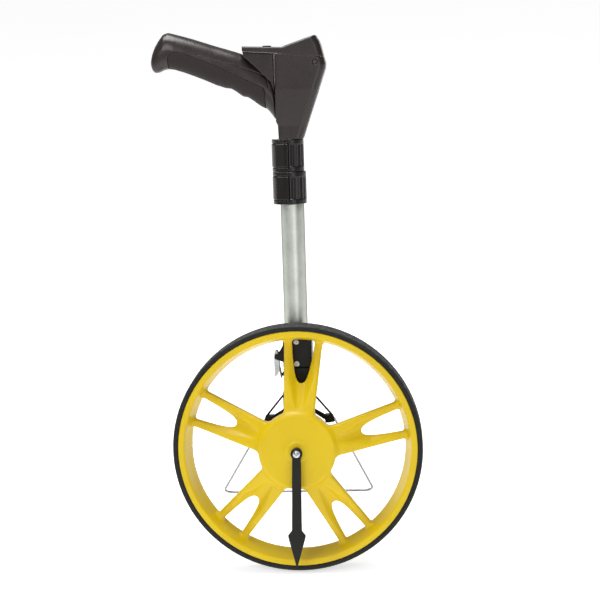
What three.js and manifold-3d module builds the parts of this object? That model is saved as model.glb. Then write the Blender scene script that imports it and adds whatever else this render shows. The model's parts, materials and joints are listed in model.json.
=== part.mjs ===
// Folding telescopic measuring wheel, standing on its wire stand.
// Millimetres, +Z up. Inside the leaning group the wheel's axle is the origin:
// +X to the right of the wheel's face, +Y back towards the pole, +Z along the pole.
import * as THREE from 'three';
import { mergeVertices } from 'three/addons/utils/BufferGeometryUtils.js';
import Module from 'manifold-3d';

const wasm = await Module();
wasm.setup();

// ---- Sizes ---------------------------------------------------------------

const ROUND_WHEEL = 60;                // steps round the wheel and tyre
const GAP = 0.3;                       // clearance between pieces that touch
const RUN_GAP = 0.3;                   // clearance round pins and sliding tubes

// Wheel
const WHEEL_TRAVEL = 1000;             // ground covered in one turn
const TYRE_R = WHEEL_TRAVEL / (2 * Math.PI);
const TYRE_HALF = 15;                  // half the tyre's width
const RIM_R = TYRE_R - 6.8;            // outside of the rim's flanges
const RIM_BED_R = RIM_R - 3;           // bottom of the channel that holds the tyre
const RIM_LIP_R = RIM_R - 8.2;         // inside of the front lip
const RIM_BACK_R = RIM_R - 15.6;       // inside of the rim at its back
const RIM_WALL = 2.6;
const SPOKES = 5;
const SEAM = 0.05;                     // between the spokes and the rim
const SPOKE_TURN = 4.4;                // degrees the wheel stands turned at rest
const SPOKE_ROOT_W = 38.4;
const SPOKE_RIM_W = 50;
const SPOKE_SLOT_W = 32;               // width of the split at the rim
const SPOKE_SLOT_R = 84;               // where the split begins
const HUB_R = 49.5;
const HUB_FRONT = -27;                 // front face of the hub disc
const HUB_SKIRT = 20;
const HUB_WALL = 3.2;
const BOSS_R = 15;
const BOSS_BACK = 13.5;

// Axle and bearings
const AXLE_R = 4;
const BEARING_R = 11;
const BEARING_W = 7;
const BALLS = 7;
const RING_WALL = 2.1;

// Pointer
const POINTER_LENGTH = 146.5;
const POINTER_TURN = 1.4;              // degrees the pointer stands off the pole's line
const POINTER_THICK = 3;
const POINTER_Y = -38.5;               // front face of the pointer

// Pole
const TUBE_R = 15;
const TUBE_WALL = 1.2;
const MIDDLE_R = TUBE_R - TUBE_WALL - GAP;
const INNER_R = MIDDLE_R - TUBE_WALL - GAP;
const POLE_Y = TYRE_HALF + 7 + TUBE_R; // plane of the pole, clear of the tyre
const HINGE_Z = 99;                    // parting line of the folding hinge
const TUBE_Z = HINGE_Z + 13;           // lower end of the outer tube
const COLLAR_H = 40.7;
const COLLAR_SPACE = 0.5;              // between the collars, and under the head
const LOWER_COLLAR_Z = 309;
const UPPER_COLLAR_Z = LOWER_COLLAR_Z + COLLAR_H + COLLAR_SPACE;
const NECK_Z = UPPER_COLLAR_Z + COLLAR_H + COLLAR_SPACE;
const STAGE_TRAVEL = 150;              // how far each tube pulls out
const LOWER_COLLAR_R = TUBE_R + 3.6;
const UPPER_COLLAR_R = MIDDLE_R + 3.1;
const LEVER_REACH = LOWER_COLLAR_R + 5.6; // clamp lever's outside, from the pole's axis

// Folding hinge and arm
const BLOCK_LEFT = -TUBE_R - 2;
const BLOCK_RIGHT = TUBE_R + 5;
const BLOCK_FRONT = POLE_Y - TUBE_R - 3;
const BLOCK_BACK = POLE_Y + TUBE_R + 1.7;
const BLOCK_TOP = HINGE_Z + 51;
const KNUCKLE_R = 4.4;
const HINGE_X = BLOCK_RIGHT + 1.8;
const HINGE_PIN_R = 2;
const ARM_FRONT = BLOCK_FRONT + 1;
const ARM_BACK = POLE_Y + 8;
const ARM_WALL = 4;

// Draw latch
const LATCH_X = BLOCK_LEFT - 8;
const LATCH_Z = HINGE_Z + 14.5;
const LATCH_Y = POLE_Y - 6;
const LATCH_CRANK = 4.5;               // bail pivot's distance from the lever's pivot
const LATCH_CRANK_ANGLE = 105;         // degrees, a little past the dead centre
const LATCH_HALF = 7.6;                // half the lever's width
const LATCH_SHEET = 1.8;               // thickness of the lever's folded sheet
const LATCH_NUB_R = 1.5;
const BAIL_R = 1;
const BAIL_HALF = 3.7;
const BAIL_BAR_X = BLOCK_LEFT - 3.4;
const BAIL_BAR_Z = HINGE_Z - 13.4;

// Stand
const STAND_PIVOT_X = 41.5;
const STAND_PIVOT_Z = 26;
const STAND_PIVOT_Y = POLE_Y + 18;
const STAND_DROP = 145.9;              // base bar below the pivots
const STAND_BACK = 176.8;              // base bar behind the pivots
const STAND_HALF = 108;                // half the base bar's length
const STAND_SKEW = -16;                // how far the bar sits to the left of the wheel
const WIRE_R = 1.5;

// Head and handle, measured from the middle of the neck
const HEAD_HALF = 23;
const NECK_HALF = 16.5;
const HEAD_WALL = 2.4;
const COVER_WALL = 2;
const HANDLE_HALF = 16.5;
const HANDLE_WALL = 2.8;
const RUBBER = 2.4;
const CELL_R = 5.25;
const CELL_L = 44.5;
const KEY_R = 4.6;
const CELL_FLOOR = 46;                 // inside floor of the head, under the cells

// ---- Helpers -------------------------------------------------------------

// A closed solid for the booleans, from a three.js geometry.
function solid(geometry) {
  const bare = geometry.clone();
  bare.deleteAttribute('normal');
  bare.deleteAttribute('uv');
  const joined = mergeVertices(bare, 1e-4);
  const index = joined.index.array;
  const triangles = [];
  for (let i = 0; i < index.length; i += 3) {
    const [a, b, c] = [index[i], index[i + 1], index[i + 2]];
    if (a !== b && b !== c && c !== a) triangles.push(a, b, c);
  }
  return new wasm.Manifold(new wasm.Mesh({
    numProp: 3,
    vertProperties: new Float32Array(joined.attributes.position.array),
    triVerts: new Uint32Array(triangles),
  }));
}

function geometryOf(body) {
  const mesh = body.simplify(0.004).getMesh();
  const geometry = new THREE.BufferGeometry();
  geometry.setAttribute('position', new THREE.BufferAttribute(new Float32Array(mesh.vertProperties), 3));
  geometry.setIndex(new THREE.BufferAttribute(new Uint32Array(mesh.triVerts), 1));
  geometry.computeVertexNormals();
  return geometry;
}

function shapeOf(points) {
  return new THREE.Shape(points.map(([x, y]) => new THREE.Vector2(x, y)));
}

// An outline in (x, z), solid from y0 to y1, its edges bevelled if asked.
function plateXZ(outline, y0, y1, bevel = 0, steps = 1) {
  const shape = outline instanceof THREE.Shape ? outline : shapeOf(outline);
  const geometry = new THREE.ExtrudeGeometry(shape, {
    depth: y1 - y0 - 2 * bevel,
    curveSegments: 10,
    bevelEnabled: bevel > 0,
    bevelThickness: bevel,
    bevelSize: bevel,
    bevelOffset: -bevel,
    bevelSegments: steps,
  });
  geometry.rotateX(Math.PI / 2);
  geometry.translate(0, y1 - bevel, 0);
  return solid(geometry);
}

// An outline in (y, z), solid from x0 to x1.
function plateYZ(outline, x0, x1) {
  const geometry = new THREE.ExtrudeGeometry(shapeOf(outline), { depth: x1 - x0, bevelEnabled: false });
  const turn = new THREE.Matrix4().makeBasis(
    new THREE.Vector3(0, 1, 0), new THREE.Vector3(0, 0, 1), new THREE.Vector3(1, 0, 0));
  geometry.applyMatrix4(turn);
  geometry.translate(x0, 0, 0);
  return solid(geometry);
}

// An outline in (x, y), solid from z0 to z1.
function plateXY(outline, z0, z1, bevel = 0) {
  const shape = outline instanceof THREE.Shape ? outline : shapeOf(outline);
  const geometry = new THREE.ExtrudeGeometry(shape, {
    depth: z1 - z0 - 2 * bevel,
    curveSegments: 16,
    bevelEnabled: bevel > 0,
    bevelThickness: bevel,
    bevelSize: bevel,
    bevelOffset: -bevel,
    bevelSegments: 1,
  });
  geometry.translate(0, 0, z0 + bevel);
  return solid(geometry);
}

// A profile of [radius, height] pairs, counter-clockwise, turned about the Y axis.
function turnedY(profile, segments = 32) {
  const points = profile.map(([r, y]) => new THREE.Vector2(r, y));
  return solid(new THREE.LatheGeometry(points, segments));
}

function turnedZ(profile, segments = 32) {
  const points = profile.map(([r, z]) => new THREE.Vector2(r, z));
  const geometry = new THREE.LatheGeometry(points, segments);
  geometry.rotateX(Math.PI / 2);
  return solid(geometry);
}

// Rings and rods between two heights.
function ringProfile(inner, outer, low, high) {
  return [[inner, low], [outer, low], [outer, high], [inner, high], [inner, low]];
}

function rodProfile(radius, low, high, chamfer = 0) {
  if (chamfer === 0) return [[0, low], [radius, low], [radius, high], [0, high]];
  return [
    [0, low], [radius - chamfer, low], [radius, low + chamfer],
    [radius, high - chamfer], [radius - chamfer, high], [0, high],
  ];
}

function box(x0, x1, y0, y1, z0, z1) {
  const geometry = new THREE.BoxGeometry(x1 - x0, y1 - y0, z1 - z0);
  geometry.translate((x0 + x1) / 2, (y0 + y1) / 2, (z0 + z1) / 2);
  return solid(geometry);
}

// A path that gives each of its pieces, long or short, the same number of steps.
class PiecePath extends THREE.Curve {
  constructor(pieces) {
    super();
    this.pieces = pieces;
  }

  getPoint(t, target = new THREE.Vector3()) {
    const at = t * this.pieces.length;
    const which = Math.min(Math.floor(at), this.pieces.length - 1);
    return this.pieces[which].getPoint(at - which, target);
  }

  getUtoTmapping(u) {
    return u;
  }
}

// A straight run of points with its corners rounded, swept as a round wire.
function wire(points, corner, radius) {
  const pieces = [];
  const stops = points.map((p) => new THREE.Vector3(...p));
  let start = stops[0];
  for (let i = 1; i < stops.length - 1; i += 1) {
    const before = stops[i].clone().sub(stops[i - 1]);
    const after = stops[i + 1].clone().sub(stops[i]);
    const reach = Math.min(corner, 0.35 * before.length(), 0.35 * after.length());
    before.setLength(reach);
    after.setLength(reach);
    const enter = stops[i].clone().sub(before);
    const leave = stops[i].clone().add(after);
    pieces.push(new THREE.LineCurve3(start, enter));
    pieces.push(new THREE.QuadraticBezierCurve3(enter, stops[i], leave));
    start = leave;
  }
  pieces.push(new THREE.LineCurve3(start, stops[stops.length - 1]));
  const extrudePath = new PiecePath(pieces);
  const round = new THREE.Shape();
  round.absarc(0, 0, radius, 0, 2 * Math.PI);
  const steps = 4 * pieces.length;
  return solid(new THREE.ExtrudeGeometry(round, { steps, curveSegments: 4, extrudePath }));
}

// An outline moved inward by a distance, edge by edge.
function inset(points, distance) {
  const count = points.length;
  const lines = points.map(([x, y], i) => {
    const [nx, ny] = points[(i + 1) % count];
    const length = Math.hypot(nx - x, ny - y);
    const [dx, dy] = [(nx - x) / length, (ny - y) / length];
    return { x: x - dy * distance, y: y + dx * distance, dx, dy };
  });
  return lines.map((line, i) => {
    const last = lines[(i + count - 1) % count];
    const cross = last.dx * line.dy - last.dy * line.dx;
    if (Math.abs(cross) < 1e-6) return [line.x, line.y];
    const along = ((line.x - last.x) * line.dy - (line.y - last.y) * line.dx) / cross;
    return [last.x + last.dx * along, last.y + last.dy * along];
  });
}

function arcPoints(cx, cy, radius, from, to, count) {
  return Array.from({ length: count + 1 }, (_, i) => {
    const angle = THREE.MathUtils.degToRad(from + ((to - from) * i) / count);
    return [cx + radius * Math.cos(angle), cy + radius * Math.sin(angle)];
  });
}

const materials = {
  yellow: { color: 0xf0cd2e, roughness: 0.45, metalness: 0 },
  rubber: { color: 0x1d1f1e, roughness: 0.85, metalness: 0 },
  black: { color: 0x262524, roughness: 0.5, metalness: 0 },
  head: { color: 0x3b3632, roughness: 0.55, metalness: 0 },
  steel: { color: 0xb9bcbd, roughness: 0.35, metalness: 1 },
  aluminium: { color: 0xc4c8c4, roughness: 0.4, metalness: 1 },
  board: { color: 0x1f5a38, roughness: 0.6, metalness: 0 },
  glass: { color: 0x9fb0a6, roughness: 0.1, metalness: 0 },
  key: { color: 0xa33a2c, roughness: 0.5, metalness: 0 },
  cell: { color: 0x8a8f94, roughness: 0.4, metalness: 0.3 },
};

function place(group, name, body, look) {
  const mesh = new THREE.Mesh(geometryOf(body), new THREE.MeshStandardMaterial({ ...materials[look], name: look }));
  mesh.name = name;
  group.add(mesh);
}

function joint(parent, name, x, y, z) {
  const group = new THREE.Group();
  group.name = name;
  group.position.set(x, y, z);
  parent.add(group);
  return group;
}

// ---- Wheel ---------------------------------------------------------------

function rimInside(y) {
  const share = (y + TYRE_HALF - 1.5) / (2 * TYRE_HALF - 1.5);
  return RIM_LIP_R + (RIM_BACK_R - RIM_LIP_R) * share;
}

function makeRim() {
  const bed = TYRE_HALF - 4;
  return turnedY([
    [RIM_LIP_R + 0.8, -TYRE_HALF],
    [RIM_R, -TYRE_HALF],
    [RIM_R, -bed],
    [RIM_BED_R, -bed + 2],
    [RIM_BED_R, bed - 2],
    [RIM_R, bed],
    [RIM_R, TYRE_HALF],
    [RIM_BED_R - RIM_WALL, TYRE_HALF],
    [RIM_BED_R - RIM_WALL, -bed + 3],
    [rimInside(-bed + 3) + RIM_WALL, -bed + 3],
    [RIM_BACK_R + RIM_WALL, TYRE_HALF],
    [RIM_BACK_R, TYRE_HALF],
    [RIM_LIP_R, -TYRE_HALF + 1.5],
    [RIM_LIP_R + 0.8, -TYRE_HALF],
  ], ROUND_WHEEL);
}

function makeSpoke() {
  const root = HUB_R - 4;
  const reach = RIM_LIP_R;
  const half = (z) => (SPOKE_ROOT_W + ((SPOKE_RIM_W - SPOKE_ROOT_W) * (z - root)) / (reach - root)) / 2;
  const flare = 5;
  const plan = [
    [-half(root), root],
    [half(root), root],
    [half(reach - 12), reach - 12],
    [half(reach) + flare, reach],
    [-half(reach) - flare, reach],
    [-half(reach - 12), reach - 12],
  ];
  const slot = [];
  const slotEnd = reach + 1;
  const slotStart = SPOKE_SLOT_R;
  for (let i = -6; i <= 6; i += 1) {
    const share = i / 6;
    const depth = 1 - Math.abs(share) ** 2.6;
    slot.push([share * (SPOKE_SLOT_W / 2), slotEnd - depth * (slotEnd - slotStart)]);
  }
  const side = [
    [HUB_FRONT + 3.5, root],
    [HUB_FRONT + 7, root + 14],
    [-7.5, root + 54],
    [2, reach - 14],
    [3, reach],
    [TYRE_HALF - 1.2, reach],
    [TYRE_HALF - 3, reach - 14],
    [4.5, root + 54],
    [-6, root + 14],
    [-9, root],
  ];
  const valley = [[-1, root + 16], [1, root + 16], [8, SPOKE_SLOT_R + 5], [-8, SPOKE_SLOT_R + 5]];
  const valleySide = side.map(([y, z]) => [y - 7, z]);
  const bodyWide = plateYZ(side, -40, 40);
  const dip = plateXZ(valley, -60, 60).intersect(plateYZ(valleySide, -40, 40));
  return plateXZ(plan, -60, 60).subtract(plateXZ(slot, -61, 61)).intersect(bodyWide).subtract(dip);
}

function makeHub() {
  const skirtBack = HUB_FRONT + HUB_SKIRT;
  const seat = BEARING_R + GAP;
  const shoulder = BEARING_R - 2.5;
  const frontSeat = HUB_FRONT + 1 + BEARING_W;
  const backSeat = BOSS_BACK - BEARING_W - 0.5;
  return turnedY([
    [seat, HUB_FRONT - 1.6],
    [BOSS_R - 1, HUB_FRONT - 1.6],
    [BOSS_R, HUB_FRONT],
    [HUB_R - 2.2, HUB_FRONT],
    [HUB_R, HUB_FRONT + 2.2],
    [HUB_R, skirtBack],
    [HUB_R - HUB_WALL, skirtBack],
    [HUB_R - HUB_WALL, HUB_FRONT + 4],
    [BOSS_R, HUB_FRONT + 4],
    [BOSS_R, BOSS_BACK],
    [seat, BOSS_BACK],
    [seat, backSeat],
    [shoulder, backSeat],
    [shoulder, frontSeat],
    [seat, frontSeat],
    [seat, HUB_FRONT - 1.6],
  ], 32);
}

// The wheel is one moulding, drawn as a rim and a spider that meet at a hairline seam.
function makeSpider() {
  const between = turnedY([
    [0, -60],
    [rimInside(-60) - SEAM, -60],
    [rimInside(TYRE_HALF) - SEAM, TYRE_HALF],
    [0, TYRE_HALF],
  ], ROUND_WHEEL);
  const spoke = makeSpoke().intersect(between);
  let spider = makeHub();
  for (let i = 0; i < SPOKES; i += 1) {
    const turn = (i * 360) / SPOKES;
    const rib = box(-1.6, 1.6, HUB_FRONT + 3, HUB_FRONT + HUB_SKIRT - 4, BOSS_R - 1, HUB_R - 1);
    spider = spider.add(spoke.rotate([0, turn, 0])).add(rib.rotate([0, turn, 0]));
  }
  return spider;
}

// Closes the front bearing's seat round the spacer.
function makeHubCap() {
  return turnedY([
    [AXLE_R + 2.2, HUB_FRONT - 1.2], [BEARING_R, HUB_FRONT - 1.6], [BEARING_R, HUB_FRONT + 1 - 2 * GAP],
    [AXLE_R + 2.2, HUB_FRONT + 1 - 2 * GAP], [AXLE_R + 2.2, HUB_FRONT - 1.2],
  ], 32);
}

function makeTyre() {
  const bed = TYRE_HALF - 4;
  return turnedY([
    [RIM_R + GAP, -TYRE_HALF],
    [TYRE_R - 2, -TYRE_HALF],
    [TYRE_R, -TYRE_HALF + 2],
    [TYRE_R, TYRE_HALF - 2],
    [TYRE_R - 2, TYRE_HALF],
    [RIM_R + GAP, TYRE_HALF],
    [RIM_R + GAP, bed - GAP],
    [RIM_BED_R + GAP, bed - 2 - GAP],
    [RIM_BED_R + GAP, -bed + 2 + GAP],
    [RIM_R + GAP, -bed + GAP],
    [RIM_R + GAP, -TYRE_HALF],
  ], ROUND_WHEEL);
}

// Bearing pieces, their front face at y.
function bearingOuter(y) {
  const inner = BEARING_R - RING_WALL;
  const middle = y + BEARING_W / 2;
  return turnedY([
    [inner, y], [BEARING_R, y], [BEARING_R, y + BEARING_W], [inner, y + BEARING_W],
    [inner, middle + 1.4], [inner + 0.9, middle], [inner, middle - 1.4], [inner, y],
  ], 20);
}

function bearingInner(y) {
  const outer = AXLE_R + GAP + RING_WALL - 0.5;
  const middle = y + BEARING_W / 2;
  return turnedY([
    [AXLE_R + GAP, y], [outer, y], [outer, middle - 1.4], [outer - 0.7, middle], [outer, middle + 1.4],
    [outer, y + BEARING_W], [AXLE_R + GAP, y + BEARING_W], [AXLE_R + GAP, y],
  ], 20);
}

function bearingBalls(y) {
  const inner = AXLE_R + GAP + RING_WALL - 0.5;
  const outer = BEARING_R - RING_WALL;
  const pitch = (inner + outer) / 2;
  const middle = y + BEARING_W / 2;
  let row = turnedY(ringProfile(pitch - 0.6, pitch + 0.6, middle - 0.9, middle + 0.9), 21);
  for (let i = 0; i < BALLS; i += 1) {
    const ball = new THREE.SphereGeometry((outer - inner) / 2 - GAP + 0.2, 6, 4);
    ball.translate(0, middle, pitch);
    ball.rotateY((i * 2 * Math.PI) / BALLS);
    row = row.add(solid(ball));
  }
  return row;
}

// ---- Chassis -------------------------------------------------------------

// Knuckles alternate along the hinge pin: the lower block has the outer two.
const KNUCKLES = [BLOCK_FRONT + 1, BLOCK_FRONT + 10, BLOCK_BACK - 10, BLOCK_BACK - 1];

function knuckle(y0, y1) {
  return turnedY(rodProfile(KNUCKLE_R, y0, y1), 16).translate([HINGE_X, 0, HINGE_Z]);
}

function knuckleRelief(y0, y1) {
  return turnedY(rodProfile(KNUCKLE_R + RUN_GAP, y0, y1), 16).translate([HINGE_X, 0, HINGE_Z]);
}

function hingeBore() {
  return turnedY(rodProfile(HINGE_PIN_R + RUN_GAP / 2, BLOCK_FRONT - 5, BLOCK_BACK + 5), 14)
    .translate([HINGE_X, 0, HINGE_Z]);
}

const BRACKET_Y0 = ARM_BACK + GAP;
const BRACKET_Y1 = BRACKET_Y0 + 3;
const BRACKET_SCREWS = [[-11, 57], [13, 57]];
const BRACKET_SCREW_R = 1.7;

function makeArm() {
  const bossR = 21;
  const outline = [
    [BLOCK_LEFT + 1, HINGE_Z - 12],
    [BLOCK_LEFT + 1.6, 40],
    [-bossR * 0.9, 12],
    ...arcPoints(0, 0, bossR, 150, 390, 14),
    [bossR * 0.9, 12],
    [BLOCK_RIGHT - 0.4, 40],
    [BLOCK_RIGHT - 0.4, HINGE_Z - 12],
  ];
  const topBlock = plateXZ([
    [BLOCK_LEFT, HINGE_Z - 26],
    [BLOCK_RIGHT, HINGE_Z - 26],
    [BLOCK_RIGHT, HINGE_Z - GAP / 2],
    [BLOCK_LEFT, HINGE_Z - GAP / 2],
  ], BLOCK_FRONT, BLOCK_BACK);
  const [a, b, c, d] = KNUCKLES;
  const pocket = plateXZ([
    [BLOCK_LEFT + ARM_WALL + 1, HINGE_Z - 32],
    [BLOCK_LEFT + ARM_WALL + 1.6, 24],
    [BLOCK_RIGHT - ARM_WALL - 0.6, 24],
    [BLOCK_RIGHT - ARM_WALL - 0.6, HINGE_Z - 32],
  ], ARM_FRONT + ARM_WALL, ARM_BACK + 1);
  const boss = turnedY(rodProfile(10, ARM_FRONT, ARM_BACK), 20);
  const bore = turnedY(rodProfile(AXLE_R + GAP / 2, ARM_FRONT - 5, ARM_BACK + 5), 20);
  const hollow = turnedY(ringProfile(10, bossR - ARM_WALL, ARM_FRONT + ARM_WALL, ARM_BACK + 1), 20);
  const rib = box(-1.6, 1.6, ARM_FRONT + 1, ARM_BACK - 4, 8, HINGE_Z - 30);
  const catchHump = plateXZ([
    [BLOCK_LEFT + 1, BAIL_BAR_Z + 1.8],
    [BLOCK_LEFT + 1, BAIL_BAR_Z + 7.5],
    [BLOCK_LEFT - 2.6, BAIL_BAR_Z + 5.6],
    [BLOCK_LEFT - 3, BAIL_BAR_Z + 1.8],
  ], LATCH_Y - 2.2, LATCH_Y + 2.2);
  let arm = plateXZ(outline, ARM_FRONT, ARM_BACK).subtract(pocket).subtract(hollow);
  for (const [x, z] of BRACKET_SCREWS) {
    const post = turnedY(rodProfile(4.2, ARM_FRONT + 1, ARM_BACK), 16).translate([x, 0, z]);
    const hole = turnedY(rodProfile(BRACKET_SCREW_R + GAP, ARM_BACK - 5, ARM_BACK + 1), 14).translate([x, 0, z]);
    arm = arm.add(post).subtract(hole);
  }
  return arm
    .add(rib)
    .add(boss)
    .add(topBlock)
    .add(catchHump)
    .subtract(knuckleRelief(a - 5, a))
    .subtract(knuckleRelief(b - RUN_GAP, c + RUN_GAP))
    .add(knuckle(a, b))
    .add(knuckle(c, d))
    .subtract(hingeBore())
    .subtract(bore);
}

function makeUpperBracket() {
  const [a, b, c, d] = KNUCKLES;
  const shell = plateXZ([
    [BLOCK_LEFT, HINGE_Z + GAP / 2],
    [BLOCK_RIGHT, HINGE_Z + GAP / 2],
    [BLOCK_RIGHT, BLOCK_TOP - 8],
    [BLOCK_RIGHT - 2.5, BLOCK_TOP],
    [BLOCK_LEFT + 0.5, BLOCK_TOP],
    [BLOCK_LEFT, BLOCK_TOP - 6],
  ], BLOCK_FRONT, BLOCK_BACK);
  const ear = (y0, y1) => plateXZ([
    [BLOCK_LEFT + 1, LATCH_Z - 7],
    [BLOCK_LEFT + 1, LATCH_Z + 16],
    [LATCH_X + 2, LATCH_Z + 3.6],
    ...arcPoints(LATCH_X, LATCH_Z, 3.6, 90, 250, 8),
  ], y0, y1);
  const nub = (y0, y1) => turnedY(rodProfile(LATCH_NUB_R, y0, y1), 14).translate([LATCH_X, 0, LATCH_Z]);
  const socket = turnedZ(rodProfile(TUBE_R + GAP, TUBE_Z - GAP, BLOCK_TOP + 5), 32).translate([0, POLE_Y, 0]);
  return shell
    .add(ear(LATCH_Y - LATCH_HALF - GAP - 2.4, LATCH_Y - LATCH_HALF - GAP))
    .add(ear(LATCH_Y + LATCH_HALF + GAP, LATCH_Y + LATCH_HALF + GAP + 2.4))
    .add(nub(LATCH_Y - LATCH_HALF - GAP - 1, LATCH_Y - LATCH_HALF + LATCH_SHEET))
    .add(nub(LATCH_Y + LATCH_HALF - LATCH_SHEET, LATCH_Y + LATCH_HALF + GAP + 1))
    .subtract(socket)
    .subtract(knuckleRelief(a - 5, b + RUN_GAP))
    .subtract(knuckleRelief(c - RUN_GAP, d + 5))
    .add(knuckle(b + RUN_GAP, c - RUN_GAP))
    .subtract(hingeBore())
    .subtract(rivetHole(BLOCK_TOP - 17))
    .subtract(screwHole(HINGE_Z + 5.6));
}

const RIVET_R = 2;
const RIVET_HEAD_R = 3.6;

function rivetHole(z) {
  return turnedY(rodProfile(RIVET_R + GAP, BLOCK_FRONT - 5, BLOCK_BACK + 5), 14).translate([0.6, 0, z]);
}

function screwHole(z) {
  return turnedY(rodProfile(RIVET_R + GAP, BLOCK_FRONT - 5, BLOCK_FRONT + 14), 14).translate([0.6, 0, z]);
}

function rivetEye() {
  return turnedY(rodProfile(1.4, BLOCK_FRONT - 5, BLOCK_FRONT + 3), 14);
}

function makeRivet(z) {
  return turnedY([
    [0, BLOCK_FRONT - 1.8], [2.6, BLOCK_FRONT - 1.7], [RIVET_HEAD_R, BLOCK_FRONT - 0.9],
    [RIVET_HEAD_R, BLOCK_FRONT - GAP], [RIVET_R, BLOCK_FRONT - GAP], [RIVET_R, BLOCK_BACK + GAP],
    [RIVET_HEAD_R, BLOCK_BACK + GAP], [RIVET_HEAD_R, BLOCK_BACK + 0.9], [0, BLOCK_BACK + 1.4],
  ], 14).subtract(rivetEye()).translate([0.6, 0, z]);
}

function makeBlockScrew(z) {
  return turnedY([
    [0, BLOCK_FRONT - 1.8], [2.6, BLOCK_FRONT - 1.7], [RIVET_HEAD_R, BLOCK_FRONT - 0.9],
    [RIVET_HEAD_R, BLOCK_FRONT - GAP], [RIVET_R, BLOCK_FRONT - GAP], [RIVET_R, BLOCK_FRONT + 13],
    [0, BLOCK_FRONT + 13],
  ], 14).subtract(rivetEye()).translate([0.6, 0, z]);
}

function makeHingePin() {
  return turnedY([
    [0, BLOCK_FRONT - 0.6], [3.4, BLOCK_FRONT - 0.6], [3.4, KNUCKLES[0] - GAP], [HINGE_PIN_R, KNUCKLES[0] - GAP],
    [HINGE_PIN_R, BLOCK_BACK + 0.6], [HINGE_PIN_R - 0.5, BLOCK_BACK + 1.1], [0, BLOCK_BACK + 1.1],
  ], 14).translate([HINGE_X, 0, HINGE_Z]);
}

// The axle runs from the pointer to a nut behind the arm, with a flange behind the rear bearing.
function makeAxle() {
  return turnedY([
    [0, POINTER_Y + 1], [AXLE_R - 0.8, POINTER_Y + 1], [AXLE_R - 0.8, POINTER_Y + POINTER_THICK + GAP],
    [AXLE_R, POINTER_Y + POINTER_THICK + GAP], [AXLE_R, ARM_BACK + 8], [AXLE_R - 0.6, ARM_BACK + 9],
    [0, ARM_BACK + 9],
  ], 20).subtract(turnedY(rodProfile(1.6, POINTER_Y - 5, POINTER_Y + 12), 16));
}

function makeAxleNut() {
  const hexagon = Array.from({ length: 6 }, (_, i) => {
    const angle = (i * Math.PI) / 3;
    return [7.4 * Math.cos(angle), 7.4 * Math.sin(angle)];
  });
  return plateXZ(hexagon, ARM_BACK + GAP, ARM_BACK + 6.5, 0.6)
    .subtract(turnedY(rodProfile(AXLE_R + GAP / 2, ARM_BACK - 5, ARM_BACK + 12), 16));
}

function makePointer() {
  const width = (z) => 5.5 + (0.9 * -z) / 100;
  const shoulder = -POINTER_LENGTH + 47;
  const outline = [
    ...arcPoints(0, 0, 7.6, -45, 225, 18),
    [-width(-12), -12],
    [-width(shoulder), shoulder],
    [-11.3, shoulder - 6],
    [-10.6, shoulder - 10],
    [-0.8, -POINTER_LENGTH],
    [0.8, -POINTER_LENGTH],
    [10.6, shoulder - 10],
    [11.3, shoulder - 6],
    [width(shoulder), shoulder],
    [width(-12), -12],
  ];
  const bore = turnedY(rodProfile(AXLE_R - 0.8 + GAP / 2, POINTER_Y - 5, POINTER_Y + 8), 16);
  return plateXZ(outline, POINTER_Y, POINTER_Y + POINTER_THICK, 0.6)
    .subtract(bore)
    .rotate([0, POINTER_TURN, 0]);
}

function makePointerScrew() {
  const head = POINTER_Y - 3.4;
  const body = turnedY([
    [0, head], [2.2, head], [3, head + 0.7], [3.1, head + 1.9], [4.6, head + 2.1], [4.6, POINTER_Y - GAP],
    [1.4, POINTER_Y - GAP], [1.4, POINTER_Y + 11], [0, POINTER_Y + 11],
  ], 16);
  const bladeX = box(-1.9, 1.9, head - 1, head + 1.3, -0.4, 0.4);
  const bladeZ = box(-0.4, 0.4, head - 1, head + 1.3, -1.9, 1.9);
  return body.subtract(bladeX.add(bladeZ).rotate([0, 45, 0]));
}

function makeStandBracket() {
  const x = STAND_PIVOT_X;
  const z = STAND_PIVOT_Z;
  const outline = [
    [-20, 64], [-20, 38], [-16, 32], [16, 32], [20, 38], [20, 64],
  ];
  const wing = [
    [17, 64], [x + 3, z + 5], [x + 5, z - 4], [x - 3, z - 5], [17, 36],
  ];
  const opening = [[20.5, 56], [x - 1.7, z + 6.6], [x - 3.5, z + 3.6], [20.5, 40]];
  const mirror = (points) => points.map(([px, pz]) => [-px, pz]).reverse();
  const lug = (side) => {
    const inner = STAND_PIVOT_X - 8;
    const outer = STAND_PIVOT_X - 1.5;
    const plate = plateYZ([
      [BRACKET_Y0, z - 5], [STAND_PIVOT_Y, z - 5.5], ...arcPoints(STAND_PIVOT_Y, z, 5.5, -80, 80, 8),
      [STAND_PIVOT_Y, z + 5.5], [BRACKET_Y0, z + 5],
    ], side > 0 ? inner : -outer, side > 0 ? outer : -inner);
    return plate;
  };
  const bore = solid(new THREE.CylinderGeometry(2 + RUN_GAP, 2 + RUN_GAP, 120, 16).rotateZ(Math.PI / 2))
    .translate([0, STAND_PIVOT_Y, z]);
  let body = plateXZ(outline, BRACKET_Y0, BRACKET_Y1)
    .add(plateXZ(wing, BRACKET_Y0, BRACKET_Y1))
    .add(plateXZ(mirror(wing), BRACKET_Y0, BRACKET_Y1))
    .subtract(plateXZ(opening, BRACKET_Y0 - 1, BRACKET_Y1 + 1))
    .subtract(plateXZ(mirror(opening), BRACKET_Y0 - 1, BRACKET_Y1 + 1))
    .add(lug(1))
    .add(lug(-1))
    .subtract(bore);
  for (const [sx, sz] of BRACKET_SCREWS) {
    body = body.subtract(turnedY(rodProfile(BRACKET_SCREW_R + GAP, BRACKET_Y0 - 5, BRACKET_Y1 + 5), 14).translate([sx, 0, sz]));
  }
  return body;
}

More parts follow.
